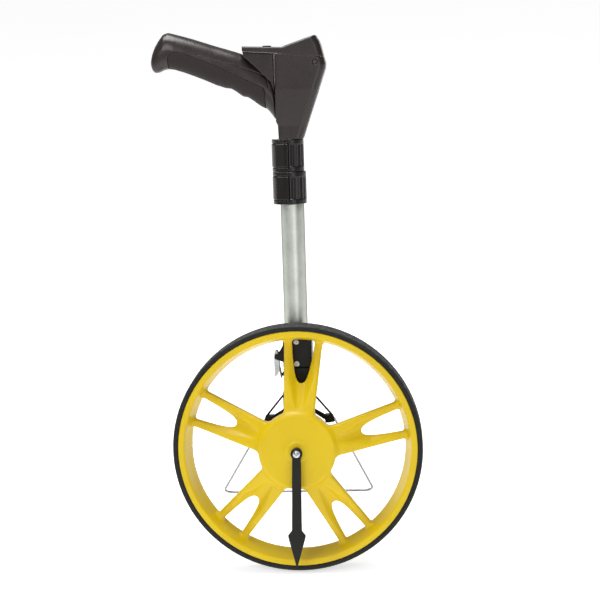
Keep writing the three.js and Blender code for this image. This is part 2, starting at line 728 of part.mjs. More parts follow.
function makeBracketScrew([x, z]) {
  return turnedY([
    [0, BRACKET_Y0 - 4], [BRACKET_SCREW_R, BRACKET_Y0 - 4], [BRACKET_SCREW_R, BRACKET_Y1 + GAP],
    [3.4, BRACKET_Y1 + GAP],
    [3.4, BRACKET_Y1 + 1.4], [2.4, BRACKET_Y1 + 2.2], [0, BRACKET_Y1 + 2.2],
  ], 14).translate([x, 0, z]);
}

// Drawn from the pivots' middle.
function makeStandWire() {
  const out = STAND_PIVOT_X + 3;
  return wire([
    [STAND_PIVOT_X - 8, 0, 0],
    [out, 0, 0],
    [STAND_SKEW + STAND_HALF, STAND_BACK, -STAND_DROP],
    [STAND_SKEW - STAND_HALF, STAND_BACK, -STAND_DROP],
    [-out, 0, 0],
    [-STAND_PIVOT_X + 8, 0, 0],
  ], 16, WIRE_R);
}

function makeSensorHousing() {
  const back = ARM_FRONT - GAP;
  return plateXZ([[-9, 25], [9, 25], [9, 42], [-9, 42]], back - 5, back, 0.8)
    .subtract(box(-7, 7, back - 3, back + 1, 27, 40));
}

function makeSensorBoard() {
  const back = ARM_FRONT - GAP;
  return box(-6.5, 6.5, back - 2.4, back - 0.8, 27.5, 39.5);
}

function makeMagnetRing() {
  return turnedY(ringProfile(BOSS_R - 2.6, BOSS_R + 20, BOSS_BACK - 3, BOSS_BACK - 0.5), 32)
    .subtract(turnedY(rodProfile(BOSS_R + GAP, BOSS_BACK - 10, BOSS_BACK + 5), 32));
}

function makeSpacer(y0, y1) {
  return turnedY(ringProfile(AXLE_R + GAP / 2, AXLE_R + 1.7, y0, y1), 16);
}

// ---- Draw latch ----------------------------------------------------------

function crankPoint() {
  const angle = THREE.MathUtils.degToRad(LATCH_CRANK_ANGLE);
  return [LATCH_CRANK * Math.cos(angle), LATCH_CRANK * Math.sin(angle)];
}

// Drawn from the lever's pivot.
function makeLatchLever() {
  const [cx, cz] = crankPoint();
  const outline = [
    ...arcPoints(cx, cz, 2.3, -10, 170, 8),
    [-3.6, 0],
    [-4.1, -9],
    [-3.4, -20],
    [-4.6, -25.6],
    [-2.8, -26.2],
    [0.6, -23],
    [2.4, -18],
    [2.9, -9],
    ...arcPoints(0, 0, 2.9, -20, 20, 4),
  ];
  const pivot = turnedY(rodProfile(LATCH_NUB_R + RUN_GAP / 2, -10, 10), 14);
  const crank = turnedY(rodProfile(BAIL_R + RUN_GAP / 2, -10, 10), 14).translate([cx, 0, cz]);
  const open = LATCH_HALF - LATCH_SHEET;
  const channel = plateXZ([
    [cx - 1.2, cz + 9], [9, cz + 9], [9, -40], [1, -40], [-0.4, -25.6], [-1.8, -20], [-2.5, -9], [-2, 0],
  ], -open, open);
  return plateXZ(outline, -LATCH_HALF, LATCH_HALF).subtract(channel).subtract(pivot).subtract(crank);
}

// Drawn from the bail's own pivot on the lever.
function makeLatchBail() {
  const [cx, cz] = crankPoint();
  const dx = BAIL_BAR_X - (LATCH_X + cx);
  const dz = BAIL_BAR_Z - (LATCH_Z + cz);
  return wire([
    [0, LATCH_HALF, 0],
    [0, BAIL_HALF, 0],
    [dx, BAIL_HALF, dz],
    [dx, -BAIL_HALF, dz],
    [0, -BAIL_HALF, 0],
    [0, -LATCH_HALF, 0],
  ], 1.6, BAIL_R);
}

// ---- Pole ----------------------------------------------------------------

function makeTube(radius, low, high) {
  return turnedZ([
    [radius - TUBE_WALL, low], [radius, low], [radius, high - 0.4], [radius - 0.4, high],
    [radius - TUBE_WALL, high], [radius - TUBE_WALL, low],
  ], 32);
}

// A sleeve that guides the foot of one tube inside the next.
function makeBush(radius, outerRadius, low) {
  return turnedZ([
    [radius - TUBE_WALL - 3, low], [outerRadius - TUBE_WALL - RUN_GAP, low],
    [outerRadius - TUBE_WALL - RUN_GAP, low + 5], [radius - TUBE_WALL - GAP, low + 5],
    [radius - TUBE_WALL - GAP, low + 16], [radius - TUBE_WALL - 3, low + 16],
    [radius - TUBE_WALL - 3, low],
  ], 20);
}

// A clamp lever closes over the front left quarter of its collar.
const LEVER_FROM = 172;
const LEVER_TO = 262;

function leverPivot() {
  return [-LOWER_COLLAR_R - 0.6, 6.4];
}

function makeCollar(radius, tube, gripped, low, height) {
  const middle = low + height / 2;
  const step = 0.9;
  const profile = [[gripped + RUN_GAP, low], [radius - 1, low], [radius, low + 1]];
  for (const rib of [0.16, 0.34]) {
    const z = low + height * rib;
    profile.push([radius, z], [radius - step, z + 0.8], [radius - step, z + 2], [radius, z + 2.8]);
  }
  profile.push([radius, low + height - 1], [radius - 1, low + height], [gripped + RUN_GAP, low + height]);
  profile.push([gripped + RUN_GAP, low]);
  const [px, py] = leverPivot();
  const lugOutline = [
    ...arcPoints(px, py, 3.6, 90, 270, 10),
    [px + 8, py - 3.6],
    [px + 8, py + 3.6],
  ];
  const seat = turnedZ(rodProfile(tube + GAP, low - 1, middle), 32);
  const bore = turnedZ(rodProfile(gripped + RUN_GAP, low - 1, low + height + 1), 32);
  const pinBore = turnedZ(rodProfile(1.5 + RUN_GAP / 2, low - 1, low + height + 1), 16).translate([px, py, 0]);
  const lever = turnedZ(rodProfile(4.3, low + 5, low + height - 5), 16).translate([px, py, 0]);
  const flange = leverBand(radius, 0.3);
  return turnedZ(profile, 32)
    .add(plateXY(lugOutline, low + 1, low + height - 1, 0.5))
    .add(plateXY(flange, low + 0.6, low + 4.7))
    .add(plateXY(flange, low + height - 4.7, low + height - 0.6))
    .subtract(lever)
    .subtract(seat)
    .subtract(bore)
    .subtract(pinBore)
    .subtract(leverSweep(radius, low + 4.7, low + height - 4.7))
    .translate([0, POLE_Y, 0]);
}

// Plan of the closed lever, drawn in from its outside by a distance.
function leverBand(radius, within) {
  return [
    ...arcPoints(0, 0, radius - 1.3, LEVER_FROM, LEVER_TO, 14),
    ...arcPoints(0, 0, radius + 2 - within, LEVER_TO, LEVER_TO - 16, 3),
    ...arcPoints(0, 0, LEVER_REACH - within, LEVER_TO - 40, LEVER_FROM + 14, 8),
  ];
}

// The room the closed lever takes.
function leverSweep(radius, low, high) {
  const band = [
    ...arcPoints(0, 0, radius - 1.6, LEVER_FROM - 6, LEVER_TO + 2, 16),
    ...arcPoints(0, 0, LEVER_REACH + 4, LEVER_TO + 2, LEVER_FROM - 6, 16),
  ];
  return plateXY(band, low, high);
}

// Drawn from the lever's own pivot; the pole's axis lies to its right.
function makeClampLever(radius, height) {
  const [px, py] = leverPivot();
  const inner = radius - 1.3;
  const band = leverBand(radius, 0).map(([x, y]) => [x - px, y - py]);
  const barrel = turnedZ(rodProfile(3.4, -height / 2, height / 2), 14);
  const neck = box(-4.2, 1.2, -9, 0, -height / 2, height / 2);
  const bore = turnedZ(rodProfile(1.5 + RUN_GAP / 2, -height, height), 16);
  const clear = turnedZ(rodProfile(inner, -height, height), 32).translate([-px, -py, 0]);
  return plateXY(band, -height / 2, height / 2, 0.7).add(neck).add(barrel).subtract(clear).subtract(bore);
}

function makeClampPin(low, height) {
  const [px, py] = leverPivot();
  return turnedZ(rodProfile(1.5, low + 0.4, low + height - 0.4, 0.3), 16).translate([px, POLE_Y + py, 0]);
}

// ---- Head ----------------------------------------------------------------

const HEAD_OUTLINE = [
  [-13.8, 0], [17.4, 0], [47, 85.6], [47.8, 91.8], [45.6, 101.2],
  [34.3, 102], [-7, 106.1], [-15.4, 106.8], [-16.6, 22], [-14.4, 17],
];
const COVER_OUTLINE = [
  [-56.2, 110.4], [-15, 107.3], [-7, 106.5], [34.3, 102.4], [45.5, 101.6],
  [42.2, 114.8], [40, 121], [37.4, 124.8], [31.2, 126.9], [-6.9, 114.4], [-55.9, 116.5],
];
const SLOPE_START = [-6.9, 114.4];
const SLOPE_END = [31.2, 126.9];
const HEAD_LEAN = Math.atan2(47 - 17.4, 85.6);  // slant of the side facing away from the handle

// Handle sections: distance along, underside, top and half width, neck end first.
const HANDLE_STATIONS = [
  [-17, 22.2, 68, 15], [-20.5, 28.5, 76.6, 15.6], [-27, 36.8, 83.2, 16],
  [-36, 41.6, 92.2, HANDLE_HALF], [-45, 48.6, 96.8, HANDLE_HALF], [-51.5, 53, 101.4, HANDLE_HALF],
  [-58, 54.2, 107.4, HANDLE_HALF], [-66, 60.4, 110.2, HANDLE_HALF], [-72, 64.2, 112, HANDLE_HALF],
  [-80, 65.4, 114.6, HANDLE_HALF], [-91, 69.2, 118, HANDLE_HALF], [-105, 75.6, 122.8, HANDLE_HALF],
  [-118, 81, 127.2, HANDLE_HALF], [-131, 86, 131.2, HANDLE_HALF], [-143, 90, 134.6, HANDLE_HALF],
  [-150, 91, 136.4, 16], [-156.5, 89.8, 134.4, 15.4], [-162.5, 87, 126.8, 14.6], [-167.5, 86.4, 118.8, 13],
  [-171.2, 89.4, 110, 10.6], [-173, 95, 102.8, 6.4],
];

// A rounded bar through the stations, drawn inside them by a distance.
function handleBar(within, around = 16) {
  const last = HANDLE_STATIONS.length - 1;
  const geometry = new THREE.CylinderGeometry(1, 1, 1, around, last);
  const position = geometry.attributes.position;
  const [near, far] = [HANDLE_STATIONS[0][0], HANDLE_STATIONS[last][0]];
  const middleX = (near + far) / 2;
  const halfLength = (near - far) / 2;
  for (let i = 0; i < position.count; i += 1) {
    const station = Math.round((0.5 - position.getY(i)) * last);
    const [x, low, high, half] = HANDLE_STATIONS[station];
    const [a, b] = [-position.getX(i), position.getZ(i)];
    const round = (value) => Math.sign(value) * Math.abs(value) ** 0.78;
    const middle = (low + high) / 2;
    const share = (x - middleX) / halfLength;
    const depth = Math.max((high - low) / 2 - within, 1);
    const width = Math.max(half - within, 1);
    position.setXYZ(i, middleX + share * (halfLength - within), round(a) * width, middle + round(b) * depth);
  }
  return solid(geometry);
}

const RUBBER_EDGE = [
  [-150, 106], [-147, 111], [-136, 111.8], [-96.4, 96.5], [-69.6, 83.6], [-49.5, 73.6], [-30, 64], [-29, 32],
];

function rubberZone(shift) {
  const edge = RUBBER_EDGE.map(([x, z]) => [x, z + shift]);
  return plateXZ([[-150 - shift, 60], [-29 + shift, 10], ...edge.reverse()], -40, 40);
}

function makeHandleParts() {
  const whole = handleBar(0);
  const rubber = whole.subtract(handleBar(RUBBER)).intersect(rubberZone(0));
  const recess = rubberZone(GAP).subtract(handleBar(RUBBER + GAP));
  const shell = whole.subtract(recess).subtract(handleBar(RUBBER + GAP + HANDLE_WALL, 10));
  return {
    rubber,
    front: shell.trimByPlane([0, -1, 0], GAP / 2),
    back: shell.trimByPlane([0, 1, 0], GAP / 2),
  };
}

// Narrows the head from its top down to the neck.
function headTaper(within) {
  return plateYZ([
    [-NECK_HALF + within, -1], [NECK_HALF - within, -1], [NECK_HALF - within, 16],
    [HEAD_HALF - within, 62], [HEAD_HALF - within, 140], [-HEAD_HALF + within, 140],
    [-HEAD_HALF + within, 62], [-NECK_HALF + within, 16],
  ], -80, 80);
}

function onSlant(body) {
  return body.rotate([0, THREE.MathUtils.radToDeg(HEAD_LEAN), 0]).translate([17.4, 0, 0]);
}

const DOOR = { half: 14, low: 24, high: 74, thick: 2 };

function makeHeadShell() {
  const cavity = plateXZ(inset(HEAD_OUTLINE, HEAD_WALL), -40, 40)
    .add(plateXZ([[-12, 95], [40, 95], [38, 112], [-12, 112]], -40, 40))
    .intersect(headTaper(HEAD_WALL))
    .intersect(box(-80, 80, -40, 40, CELL_FLOOR, 140));
  const bore = turnedZ(rodProfile(INNER_R + GAP, -5, 42), 32);
  const way = turnedZ(rodProfile(INNER_R - TUBE_WALL, 30, 60), 16);
  const ledge = onSlant(box(-DOOR.thick - GAP, 3, -DOOR.half - GAP, DOOR.half + GAP, DOOR.low - GAP, DOOR.high + GAP));
  const window = onSlant(box(-8, 3, -DOOR.half + 2.5, DOOR.half - 2.5, DOOR.low + 24, DOOR.high - 3));
  const screwSeat = turnedY(rodProfile(3.3, -HEAD_HALF - 1, -HEAD_HALF + 2), 14).translate([34.6, 0, 95]);
  const screwWay = turnedY(rodProfile(1.6 + GAP, -HEAD_HALF - 1, 0), 16).translate([34.6, 0, 95]);
  const post = turnedY(rodProfile(4.6, -HEAD_HALF + 1, HEAD_HALF - 1), 14).translate([34.6, 0, 95]);
  const outer = plateXZ(HEAD_OUTLINE, -HEAD_HALF, HEAD_HALF, 1.6).intersect(headTaper(0));
  return outer
    .subtract(cavity)
    .add(post)
    .subtract(bore)
    .subtract(way)
    .subtract(ledge)
    .subtract(window)
    .subtract(screwSeat)
    .subtract(screwWay);
}

function makeHeadScrew() {
  return turnedY([
    [0, -HEAD_HALF + 0.7], [2.6, -HEAD_HALF + 0.7], [3, -HEAD_HALF + 1.1], [3, -HEAD_HALF + 2 - GAP],
    [1.6, -HEAD_HALF + 2 - GAP], [1.6, -2], [0, -2],
  ], 14).translate([34.6, 0, 95]).subtract(box(33.2, 36, -HEAD_HALF - 1, -HEAD_HALF + 1.3, 94.6, 95.4));
}

// Fills the corner between the head, the deck and the handle's top.
function makeRearFiller() {
  const outline = [
    [-17.4, 106.6], [-56, 109.6], [-55, 104], [-40, 90], [-22, 72], [-17.9, 60], [-17.6, 50],
  ];
  return plateXZ(outline, -HANDLE_HALF + 0.5, HANDLE_HALF - 0.5)
    .subtract(handleBar(-GAP))
    .subtract(plateXZ([[-18.5, 112], [-46, 112], [-46, 100], [-18.5, 100]], -HANDLE_HALF + 4, HANDLE_HALF - 4));
}

// Draws a box on the sloping face: along the slope, across, and out of it.
function onSlope(along0, along1, across, out0, out1) {
  const angle = Math.atan2(SLOPE_END[1] - SLOPE_START[1], SLOPE_END[0] - SLOPE_START[0]);
  return box(along0, along1, -across, across, out0, out1)
    .rotate([0, -THREE.MathUtils.radToDeg(angle), 0])
    .translate([SLOPE_START[0], 0, SLOPE_START[1]]);
}

const KEY_SPOTS = [[-26, -12.5], [-26, 0], [-26, 12.5]];
const DECK_TOP = 115.2;

function makeCover() {
  const outer = plateXZ(COVER_OUTLINE, -HEAD_HALF, HEAD_HALF, 1.6);
  const cavityOutline = [
    [-54, 100], [43, 96], [42.6, 104], [39.6, 114], [35.6, 122.6], [30.8, 124.4], [-6.6, 112.2], [-54, 114.2],
  ];
  let cover = outer.subtract(plateXZ(cavityOutline, -HEAD_HALF + COVER_WALL, HEAD_HALF - COVER_WALL));
  cover = cover
    .subtract(onSlope(5, 36, 17, -6, 3))
    .subtract(onSlope(3.4, 37.6, 18.6, -1, 3));
  for (const [x, y] of KEY_SPOTS) {
    cover = cover.subtract(turnedZ(rodProfile(KEY_R + GAP, 105, 125), 16).translate([x, y, 0]));
  }
  return cover;
}

function makeWindow() {
  return onSlope(3.4 + GAP, 37.6 - GAP, 18.6 - GAP, -0.7, 0.3);
}

function makeScreen() {
  return onSlope(5 + GAP, 36 - GAP, 17 - GAP, -4.2, -1 - GAP);
}

function makeBoard() {
  return box(-11.6, 36.5, -18.5, 18.5, 104.2, 105.8);
}

function makeKeyBoard() {
  return box(-44, -16.5, -18.5, 18.5, 111.3, 112.3);
}

// Drawn from the middle of the key's top.
function makeKey() {
  return turnedZ([
    [0, -2.8], [KEY_R, -2.8], [KEY_R, -0.5], [KEY_R - 0.6, 0], [0, 0],
  ], 16);
}

function makeCell(y) {
  return turnedZ([
    [0, 0], [CELL_R, 0], [CELL_R, CELL_L - 1.4], [CELL_R - 0.5, CELL_L - 1], [1.9, CELL_L - 1], [1.9, CELL_L], [0, CELL_L],
  ], 16).translate([13.5, y, CELL_FLOOR + GAP]);
}

// Drawn from the middle of the door, its outside facing +X.
function makeDoor() {
  const half = (DOOR.high - DOOR.low) / 2;
  let door = box(-DOOR.thick, -0.1, -DOOR.half, DOOR.half, -half, half);
  for (let i = 0; i < 5; i += 1) {
    const z = half - 8 - i * 3;
    door = door.subtract(box(-0.7, 1, -7, 7, z, z + 1.2));
  }
  return door;
}

// ---- Assembly ------------------------------------------------------------

const root = new THREE.Group();
root.name = 'measuring_wheel';
const leaning = joint(root, 'leaning', 0, 0, 0);

// Leans back until the tyre's back edge and the stand's bar share the ground.
const barBack = STAND_PIVOT_Y + STAND_BACK - (TYRE_HALF - 2);
const barUp = STAND_PIVOT_Z - STAND_DROP + TYRE_R;
const lean = Math.atan2(barUp, barBack) - Math.asin(WIRE_R / Math.hypot(barUp, barBack));
leaning.rotation.x = -lean;

const chassis = joint(leaning, 'chassis', 0, 0, 0);
place(chassis, 'arm', makeArm(), 'black');
place(chassis, 'axle', makeAxle(), 'steel');
place(chassis, 'axle_nut', makeAxleNut(), 'steel');
place(chassis, 'front_spacer', makeSpacer(POINTER_Y + POINTER_THICK + GAP, HUB_FRONT - GAP), 'steel');
place(chassis, 'rear_spacer', makeSpacer(BOSS_BACK - 0.5 + GAP, ARM_FRONT - GAP), 'steel');
const frontBearing = HUB_FRONT + 1 - GAP;
const rearBearing = BOSS_BACK - BEARING_W - 0.5 + GAP;
place(chassis, 'front_bearing_inner', bearingInner(frontBearing), 'steel');
place(chassis, 'rear_bearing_inner', bearingInner(rearBearing), 'steel');
place(chassis, 'pointer', makePointer(), 'black');
place(chassis, 'pointer_screw', makePointerScrew(), 'steel');
place(chassis, 'sensor_housing', makeSensorHousing(), 'black');
place(chassis, 'sensor_board', makeSensorBoard(), 'board');
place(chassis, 'stand_bracket', makeStandBracket(), 'black');
BRACKET_SCREWS.forEach((spot, i) => place(chassis, `bracket_screw_${i + 1}`, makeBracketScrew(spot), 'steel'));
place(chassis, 'hinge_pin', makeHingePin(), 'steel');

const spin = joint(chassis, 'wheel_spin', 0, 0, 0);
spin.rotation.y = THREE.MathUtils.degToRad(SPOKE_TURN);
place(spin, 'wheel_rim', makeRim(), 'yellow');
place(spin, 'wheel_spider', makeSpider(), 'yellow');
place(spin, 'hub_cap', makeHubCap(), 'yellow');
place(spin, 'tyre', makeTyre(), 'rubber');
place(spin, 'front_bearing_outer', bearingOuter(frontBearing), 'steel');
place(spin, 'rear_bearing_outer', bearingOuter(rearBearing), 'steel');
place(spin, 'front_bearing_balls', bearingBalls(frontBearing), 'steel');
place(spin, 'rear_bearing_balls', bearingBalls(rearBearing), 'steel');
place(spin, 'magnet_ring', makeMagnetRing(), 'black');

const stand = joint(chassis, 'stand_swing', 0, STAND_PIVOT_Y, STAND_PIVOT_Z);
place(stand, 'stand_wire', makeStandWire(), 'steel');

// The folding pole is drawn in the arm's own frame and hung from the hinge pin.
const fold = joint(chassis, 'pole_fold', HINGE_X, 0, HINGE_Z);
const pole = joint(fold, 'pole', -HINGE_X, 0, -HINGE_Z);
place(pole, 'upper_bracket', makeUpperBracket(), 'black');
place(pole, 'tube_rivet', makeRivet(BLOCK_TOP - 17), 'steel');
place(pole, 'block_screw', makeBlockScrew(HINGE_Z + 5.6), 'steel');
const lowerGrip = LOWER_COLLAR_Z + COLLAR_H / 2;
const upperGrip = UPPER_COLLAR_Z + COLLAR_H / 2;
const outerTube = makeTube(TUBE_R, TUBE_Z, lowerGrip - GAP)
  .translate([0, POLE_Y, 0])
  .subtract(rivetHole(BLOCK_TOP - 17));
place(pole, 'outer_tube', outerTube, 'aluminium');
place(pole, 'lower_collar', makeCollar(LOWER_COLLAR_R, TUBE_R, MIDDLE_R, LOWER_COLLAR_Z, COLLAR_H), 'black');
place(pole, 'lower_clamp_pin', makeClampPin(LOWER_COLLAR_Z, COLLAR_H), 'steel');

const latch = joint(pole, 'latch_lever_turn', LATCH_X, LATCH_Y, LATCH_Z);
place(latch, 'latch_lever', makeLatchLever(), 'steel');
const [crankX, crankZ] = crankPoint();
const bail = joint(latch, 'latch_bail_turn', crankX, 0, crankZ);
place(bail, 'latch_bail', makeLatchBail(), 'steel');

const [pinX, pinY] = leverPivot();
const leverHeight = COLLAR_H - 10.6;
const lowerLever = joint(pole, 'lower_clamp_turn', pinX, POLE_Y + pinY, lowerGrip);
place(lowerLever, 'lower_clamp_lever', makeClampLever(LOWER_COLLAR_R, leverHeight), 'black');

const middle = joint(pole, 'middle_slide', 0, POLE_Y, lowerGrip);
const middleParts = joint(middle, 'middle_parts', 0, -POLE_Y, -lowerGrip);
const middleFoot = BLOCK_TOP + 4;
const middleTube = makeTube(MIDDLE_R, middleFoot, upperGrip - GAP).translate([0, POLE_Y, 0]);
place(middleParts, 'middle_tube', middleTube, 'aluminium');
place(middleParts, 'middle_bush', makeBush(MIDDLE_R, TUBE_R, middleFoot - 5 - GAP).translate([0, POLE_Y, 0]), 'black');
place(middleParts, 'upper_collar', makeCollar(UPPER_COLLAR_R, MIDDLE_R, INNER_R, UPPER_COLLAR_Z, COLLAR_H), 'black');
place(middleParts, 'upper_clamp_pin', makeClampPin(UPPER_COLLAR_Z, COLLAR_H), 'steel');
const upperLever = joint(middleParts, 'upper_clamp_turn', pinX, POLE_Y + pinY, upperGrip);
place(upperLever, 'upper_clamp_lever', makeClampLever(UPPER_COLLAR_R, leverHeight), 'black');

const inner = joint(middleParts, 'inner_slide', 0, POLE_Y, upperGrip);
const head = joint(inner, 'head', 0, 0, NECK_Z - upperGrip);
const innerFoot = middleFoot + 16;
place(head, 'inner_tube', makeTube(INNER_R, innerFoot - NECK_Z, 42 - GAP), 'aluminium');
place(head, 'inner_bush', makeBush(INNER_R, MIDDLE_R, innerFoot - NECK_Z - 5 - GAP), 'black');
const shell = makeHeadShell();
place(head, 'head_front', shell.trimByPlane([0, -1, 0], GAP / 2), 'head');
place(head, 'head_back', shell.trimByPlane([0, 1, 0], GAP / 2), 'head');
place(head, 'head_screw', makeHeadScrew(), 'steel');
place(head, 'head_cover', makeCover(), 'head');
place(head, 'rear_filler', makeRearFiller(), 'head');
place(head, 'screen_window', makeWindow(), 'glass');
place(head, 'screen', makeScreen(), 'glass');
place(head, 'main_board', makeBoard(), 'board');
place(head, 'key_board', makeKeyBoard(), 'board');
place(head, 'cell_1', makeCell(-6), 'cell');
place(head, 'cell_2', makeCell(6), 'cell');
const handle = makeHandleParts();
place(head, 'handle_front', handle.front, 'head');
place(head, 'handle_back', handle.back, 'head');
place(head, 'grip_rubber', handle.rubber, 'rubber');
KEY_SPOTS.forEach(([x, y], i) => {
  const key = joint(head, `key_${i + 1}_press`, x, y, DECK_TOP + 1.4);
  place(key, `key_${i + 1}`, makeKey(), 'key');
});
const doorPlace = joint(head, 'door_lift', 17.4, 0, 0);
doorPlace.rotation.y = HEAD_LEAN;
const door = joint(doorPlace, 'door', 0, 0, (DOOR.low + DOOR.high) / 2);
place(door, 'battery_door', makeDoor(), 'head');

// Sets the lowest point on the ground and centres the whole over the origin.
root.updateMatrixWorld(true);
const bounds = new THREE.Box3().setFromObject(leaning, true);
const centre = bounds.getCenter(new THREE.Vector3());
leaning.position.set(-centre.x, -centre.y, -bounds.min.z);

export default root;
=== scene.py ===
"""Looks of the folding measuring wheel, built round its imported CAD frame.

Moulded pieces are drawn as signed distance fields, so that their edges and roots are rounded as a
mould leaves them, and turned into meshes by surface nets. Sizes are in millimetres in the wheel's
own frame: X to the right of the wheel's face, Y back along the axle, Z up along the pole.
"""
import json
import math

import bpy
import numpy as np
from mathutils import Matrix, Vector


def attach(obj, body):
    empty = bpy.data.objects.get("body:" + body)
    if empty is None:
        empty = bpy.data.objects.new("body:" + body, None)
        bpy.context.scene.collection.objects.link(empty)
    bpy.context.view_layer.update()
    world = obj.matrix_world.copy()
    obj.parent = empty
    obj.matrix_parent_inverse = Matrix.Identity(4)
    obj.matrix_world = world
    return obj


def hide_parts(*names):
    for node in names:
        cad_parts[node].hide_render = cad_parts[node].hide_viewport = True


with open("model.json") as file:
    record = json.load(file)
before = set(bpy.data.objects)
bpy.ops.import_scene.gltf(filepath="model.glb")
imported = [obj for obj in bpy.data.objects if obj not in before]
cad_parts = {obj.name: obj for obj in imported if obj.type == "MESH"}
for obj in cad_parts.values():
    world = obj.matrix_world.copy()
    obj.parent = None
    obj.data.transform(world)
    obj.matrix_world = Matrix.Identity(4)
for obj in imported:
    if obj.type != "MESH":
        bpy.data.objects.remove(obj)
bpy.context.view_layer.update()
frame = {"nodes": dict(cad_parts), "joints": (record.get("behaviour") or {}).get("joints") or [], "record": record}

MM = 0.001

# ---- Sizes ----------------------------------------------------------------
# A name that the CAD source has too carries its value; the two _TURN angles are in radians here.

TYRE_R = 1000 / (2 * math.pi)
TYRE_HALF = 15
RIM_R = TYRE_R - 6.8
RIM_BED_R = RIM_R - 3
RIM_LIP_R = RIM_R - 8.2
RIM_BACK_R = RIM_R - 15.6
RIM_WALL = 2.6
SPOKES = 5
SPOKE_TURN = math.radians(4.4)
SPOKE_ROOT = 45.5
SPOKE_ROOT_HALF = 19.2
SPOKE_RIM_HALF = 25
SLOT_START = 84
SLOT_HALF = 16
HUB_R = 49.5
HUB_FRONT = -27
HUB_BACK = HUB_FRONT + 20
HUB_WALL = 3.2
BOSS_R = 15
BOSS_BACK = 13.5
BEARING_R = 11
BEARING_W = 7
CAP_BORE = 6.2
GAP = 0.3
BED_HALF = TYRE_HALF - 4
RIM_MOUTH = -TYRE_HALF + 1.5
RIM_SLOPE = (RIM_BACK_R - RIM_LIP_R) / (2 * TYRE_HALF - 1.5)
SEAT_R = BEARING_R + GAP
SHOULDER_R = BEARING_R - 2.5
FRONT_SEAT = HUB_FRONT + 1 + BEARING_W
BACK_SEAT = BOSS_BACK - BEARING_W - 0.5
AXLE_R = 4

POINTER_Y = -38.5
POINTER_THICK = 3
POINTER_LENGTH = 146.5
POINTER_TURN = math.radians(1.4)

TUBE_R = 15
TUBE_WALL = 1.2
MIDDLE_R = TUBE_R - TUBE_WALL - GAP
INNER_R = MIDDLE_R - TUBE_WALL - GAP
POLE_Y = TYRE_HALF + 7 + TUBE_R
HINGE_Z = 99
TUBE_Z = 112
LOWER_COLLAR_Z = 309
COLLAR_H = 40.7
COLLAR_SPACE = 0.5
UPPER_COLLAR_Z = LOWER_COLLAR_Z + COLLAR_H + COLLAR_SPACE
NECK_Z = UPPER_COLLAR_Z + COLLAR_H + COLLAR_SPACE
LOWER_COLLAR_R = TUBE_R + 3.6
UPPER_COLLAR_R = MIDDLE_R + 3.1
LEVER_REACH = LOWER_COLLAR_R + 5.6
LEVER_PIVOT = (-LOWER_COLLAR_R - 0.6, 6.4)
LEVER_FROM = 172
LEVER_TO = 262
LEVER_HOLE = 1.65
FLANGE = 4.9
BAND = 6.4
FLUTES = 18
FLUTE_DEPTH = 0.45

BLOCK_LEFT = -TUBE_R - 2
BLOCK_RIGHT = TUBE_R + 5
BLOCK_FRONT = POLE_Y - TUBE_R - 3
BLOCK_BACK = POLE_Y + TUBE_R + 1.7
BLOCK_TOP = HINGE_Z + 51
ARM_FRONT = BLOCK_FRONT + 1
ARM_BACK = POLE_Y + 8
ARM_WALL = 4
KNUCKLE_R = 4.4
HINGE_X = BLOCK_RIGHT + 1.8
HINGE_PIN_R = 2
KNUCKLES = (BLOCK_FRONT + 1, BLOCK_FRONT + 10, BLOCK_BACK - 10, BLOCK_BACK - 1)
LATCH_X = -25
LATCH_Y = POLE_Y - 6
LATCH_Z = 113.5
LATCH_HALF = 7.6
BAIL_BAR_Z = 85.6

STAND_PIVOT = (41.5, POLE_Y + 18, 26)
STAND_DROP = 145.9
STAND_BACK = 176.8
STAND_HALF = 108
STAND_SKEW = -16
WIRE_R = 1.5
BRACKET_Y0 = ARM_BACK + GAP
BRACKET_Y1 = BRACKET_Y0 + 3
BRACKET_SCREWS = ((-11, 57), (13, 57))

HEAD_HALF = 23
NECK_HALF = 16.5
HANDLE_HALF = 16.5
RUBBER = 2.4
SLANT_FOOT = (17.4, 0)
SLANT_TOP = (47, 85.6)
HEAD_SCREW = (34.6, 95)

# ---- Frame ----------------------------------------------------------------

spin_joint = next(j for j in frame["joints"] if j["name"] == "wheel_spin")
axle_point = Vector(spin_joint["pos_m"])
axle_way = Vector(spin_joint["axis"]).normalized()
across_way = Vector((1, 0, 0))
pole_way = across_way.cross(axle_way)
wheel_turn = Matrix((across_way, axle_way, pole_way)).transposed()
WHEEL_FRAME = Matrix.Translation(axle_point) @ wheel_turn.to_4x4()
TO_WHEEL = WHEEL_FRAME.inverted()


# ---- Distance fields ------------------------------------------------------

class Grid:
    """Sample points through a box, a few cells larger than the piece on every side."""

    def __init__(self, low, high, cell):
        margin = 2.5 * cell
        self.cell = cell
        self.low = np.array(low, np.float32) - margin
        counts = np.ceil((np.array(high) + margin - self.low) / cell).astype(int) + 1
        self.lines = [self.low[i] + cell * np.arange(counts[i], dtype=np.float32) for i in range(3)]
        self.x = self.lines[0][:, None, None]
        self.y = self.lines[1][None, :, None]
        self.z = self.lines[2][None, None, :]


def polygon_distance(px, py, outline):
    """Signed distance from points to a closed outline, negative inside."""
    px, py = np.broadcast_arrays(np.float32(px), np.float32(py))
    nearest = np.full(px.shape, 1e9, np.float32)
    inside = np.zeros(px.shape, bool)
    for (ax, ay), (bx, by) in zip(outline, list(outline[1:]) + [outline[0]]):
        ex, ey = bx - ax, by - ay
        length = ex * ex + ey * ey
        if length < 1e-9:
            continue
        wx, wy = px - ax, py - ay
        share = np.clip((wx * ex + wy * ey) / length, 0, 1)
        nearest = np.minimum(nearest, (wx - ex * share) ** 2 + (wy - ey * share) ** 2)
        if ay != by:
            spans = (ay > py) != (by > py)
            inside ^= spans & (px < ex * (py - ay) / ey + ax)
    return np.sqrt(nearest) * np.where(inside, -1, 1).astype(np.float32)


